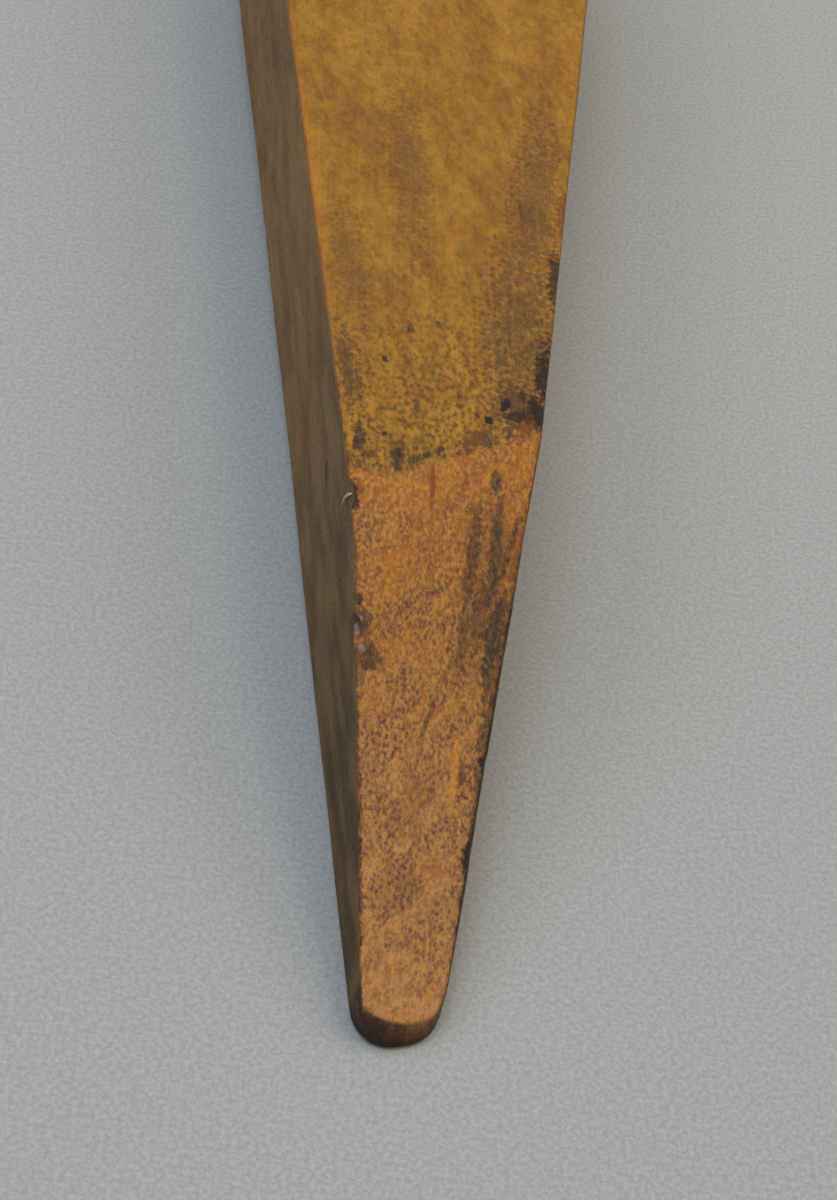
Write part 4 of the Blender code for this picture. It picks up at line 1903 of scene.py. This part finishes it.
@dataclass(frozen=True)
class Studio:
    """The floor, the light and the camera.

    Attributes:
        floor_colour: The paper's colour.
        sky: How bright the room is.
        aim: Where on the tool the camera looks, in the tool's frame, in millimetres.
        turn: The camera's heading from the tool's length, in degrees.
        fall: How far it looks down.
        roll: How far it is rolled.
        distance: How far away it is, in millimetres.
        lens: Its focal length, on a 36 mm sensor.
        flecks: How dark and how light the paper's tooth is, against its colour.
        lights: The lamps.
    """

    floor_colour: tuple[int, int, int] = (156, 157, 156)
    sky: float = 0.33
    aim: tuple[float, float, float] = (2.56, 55.0, 0.0)
    turn: float = 14.1
    fall: float = 46.6
    roll: float = 18.8
    distance: float = 265.1
    lens: float = 75.0
    flecks: tuple[float, float] = (0.86, 1.13)
    lights: tuple[SoftLight, ...] = (
        SoftLight("top_softbox", (0.0, 0.1, 1.2), 3.4),
        SoftLight("left_softbox", (-0.62, 0.0, 1.0), 8.8, (0.78, 0.87, 1.0)),
        SoftLight("right_softbox", (0.6, 0.0, 1.0), 5.8, (1.0, 0.87, 0.6)),
    )

    def build(self, tool: ToolFrame) -> None:
        """Makes the stage.

        Args:
            tool: The tool's frame, which the camera is placed in.
        """
        self._lay_floor()
        self._light_room()
        for light in self.lights:
            light.build()
        self._place_camera(tool)

    def _lay_floor(self) -> None:
        """A plain pale sheet of paper, large enough for every view."""
        side = 3000.0
        corners = np.array([(-side, -side, 0), (side, -side, 0), (side, side, 0), (-side, side, 0)])
        floor = new_piece("floor", corners, [(0, 1, 2, 3)])
        paper = bpy.data.materials.new("grey_paper")
        paper.use_nodes = True
        nodes = Nodes(paper.node_tree)
        shader = paper.node_tree.nodes["Principled BSDF"]
        shader.inputs["Roughness"].default_value = 0.9
        shader.inputs["Specular IOR Level"].default_value = 0.2
        where = nodes.add("ShaderNodeTexCoord")
        place = nodes.vector("MULTIPLY", where.outputs["Object"], (1 / MM,) * 3)
        tooth = nodes.ramp(nodes.noise(place, 2.0, 5.0, 0.75), 0.34, 0.66, *self.flecks)
        shade = nodes.vector(
            "MULTIPLY", linear(*self.floor_colour)[:3], nodes.join(tooth, tooth, tooth)
        )
        nodes.feed(shader.inputs["Base Color"], shade)
        floor.data.materials.append(paper)

    def _light_room(self) -> None:
        """Fills the room with even, dim light."""
        world = bpy.data.worlds.new("studio")
        world.use_nodes = True
        background = world.node_tree.nodes["Background"]
        background.inputs["Color"].default_value = (0.98, 0.99, 1.0, 1.0)
        background.inputs["Strength"].default_value = self.sky
        bpy.context.scene.world = world
        bpy.context.scene.view_settings.view_transform = "Standard"

    def _place_camera(self, tool: ToolFrame) -> None:
        """Adds the camera, close over the nose.

        Args:
            tool: The tool's frame.
        """
        turn, fall, roll = (math.radians(a) for a in (self.turn, self.fall, self.roll))
        level = math.cos(fall)
        ahead = Vector((math.sin(turn) * level, math.cos(turn) * level, -math.sin(fall)))
        right = Vector((math.cos(turn), -math.sin(turn), 0.0))
        up = right.cross(ahead)
        rolled_right = right * math.cos(roll) + up * math.sin(roll)
        rolled_up = up * math.cos(roll) - right * math.sin(roll)
        place = Vector(self.aim) * MM - ahead * self.distance * MM
        axes = Matrix((rolled_right, rolled_up, -ahead)).transposed().to_4x4()
        data = bpy.data.cameras.new("camera")
        data.lens = self.lens
        data.sensor_width = 36.0
        data.clip_start = 0.01
        camera = bpy.data.objects.new("camera", data)
        bpy.context.scene.collection.objects.link(camera)
        camera.matrix_world = tool.matrix @ Matrix.Translation(place) @ axes
        bpy.context.scene.camera = camera


# --------------------------------------------------------------------------- the whole tool


@dataclass
class Dibber:
    """The whole tool, with its pieces and their finishes.

    Attributes:
        joint: The sizes that the pieces share where they meet.
    """

    joint: TenonJoint = TenonJoint()

    def build(self, tool: ToolFrame, effects: Effects) -> None:
        """Makes every piece, dresses it and lays it in its place.

        Args:
            tool: The tool's frame.
            effects: The shared node groups.
        """
        blade_wood = WornBlade(
            name="worn_blade",
            grain=Grain.ALONG,
            pale=(164, 116, 38),
            deep=(112, 74, 28),
            pore=(70, 46, 26),
            end=(120, 84, 46),
            roughness=0.55,
            top_marks=(UPPER_MARKS, FACET_MARKS),
            side_marks=(SIDE_MARKS,),
        ).build(effects)
        grip_wood = Wood(
            name="polished_grip",
            grain=Grain.ACROSS,
            pale=(166, 112, 54),
            deep=(116, 72, 36),
            pore=(64, 40, 26),
            end=(128, 84, 46),
            roughness=0.42,
        ).build(effects)
        wedge_wood = Wood(
            name="wedge_wood",
            grain=Grain.ALONG,
            pale=(124, 82, 48),
            deep=(86, 54, 32),
            pore=(44, 30, 22),
            end=(92, 60, 38),
            ring_width=2.2,
            roughness=0.6,
        ).build(effects)
        peg_wood = Wood(
            name="peg_wood",
            grain=Grain.THROUGH,
            pale=(190, 146, 88),
            deep=(150, 108, 62),
            pore=(78, 54, 34),
            end=(164, 122, 74),
            ring_width=1.8,
            roughness=0.55,
        ).build(effects)
        pale_wood = Wood(
            name="torn_fibre",
            grain=Grain.THROUGH,
            pale=(214, 200, 172),
            deep=(180, 160, 128),
            pore=(120, 96, 70),
            end=(214, 200, 172),
            roughness=0.6,
            grime=0.0,
        ).build(effects)
        made = [
            (Blade(self.joint).build(), blade_wood, "blade_wood", "blade"),
            (CrossGrip(self.joint).build(), grip_wood, "grip_wood", "cross_grip"),
            (self.joint.build_wedge("wedge_left", -1), wedge_wood, "wedge_wood", "left_wedge"),
            (self.joint.build_wedge("wedge_right", 1), wedge_wood, "wedge_wood", "right_wedge"),
            (self.joint.build_peg(), peg_wood, "peg_wood", "locking_peg"),
        ]
        for piece, wood, slot, node in made:
            piece.data.materials.clear()
            piece.data.materials.append(wood)
            tool.settle_in(piece, slot, node)
        fibres = TornFibres().build()
        fibres.data.materials.append(pale_wood)
        tool.settle_in(fibres, "blade_wood")


def clear_startup(model: dict) -> None:
    """Removes everything that isn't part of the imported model.
    """
    kept = set(model["nodes"].values()) | set(model["bodies"].values())
    for thing in [o for o in bpy.data.objects if o not in kept]:
        bpy.data.objects.remove(thing)


def main() -> None:
    """Builds the tool and its stage."""
    logging.basicConfig(level=logging.INFO, format="%(name)s: %(message)s")
    clear_startup(frame)
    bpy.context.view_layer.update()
    tool = ToolFrame.found_in(frame)
    Dibber().build(tool, Effects())
    Studio().build(tool)
    bpy.context.view_layer.update()


if __name__ == "__main__":
    main()
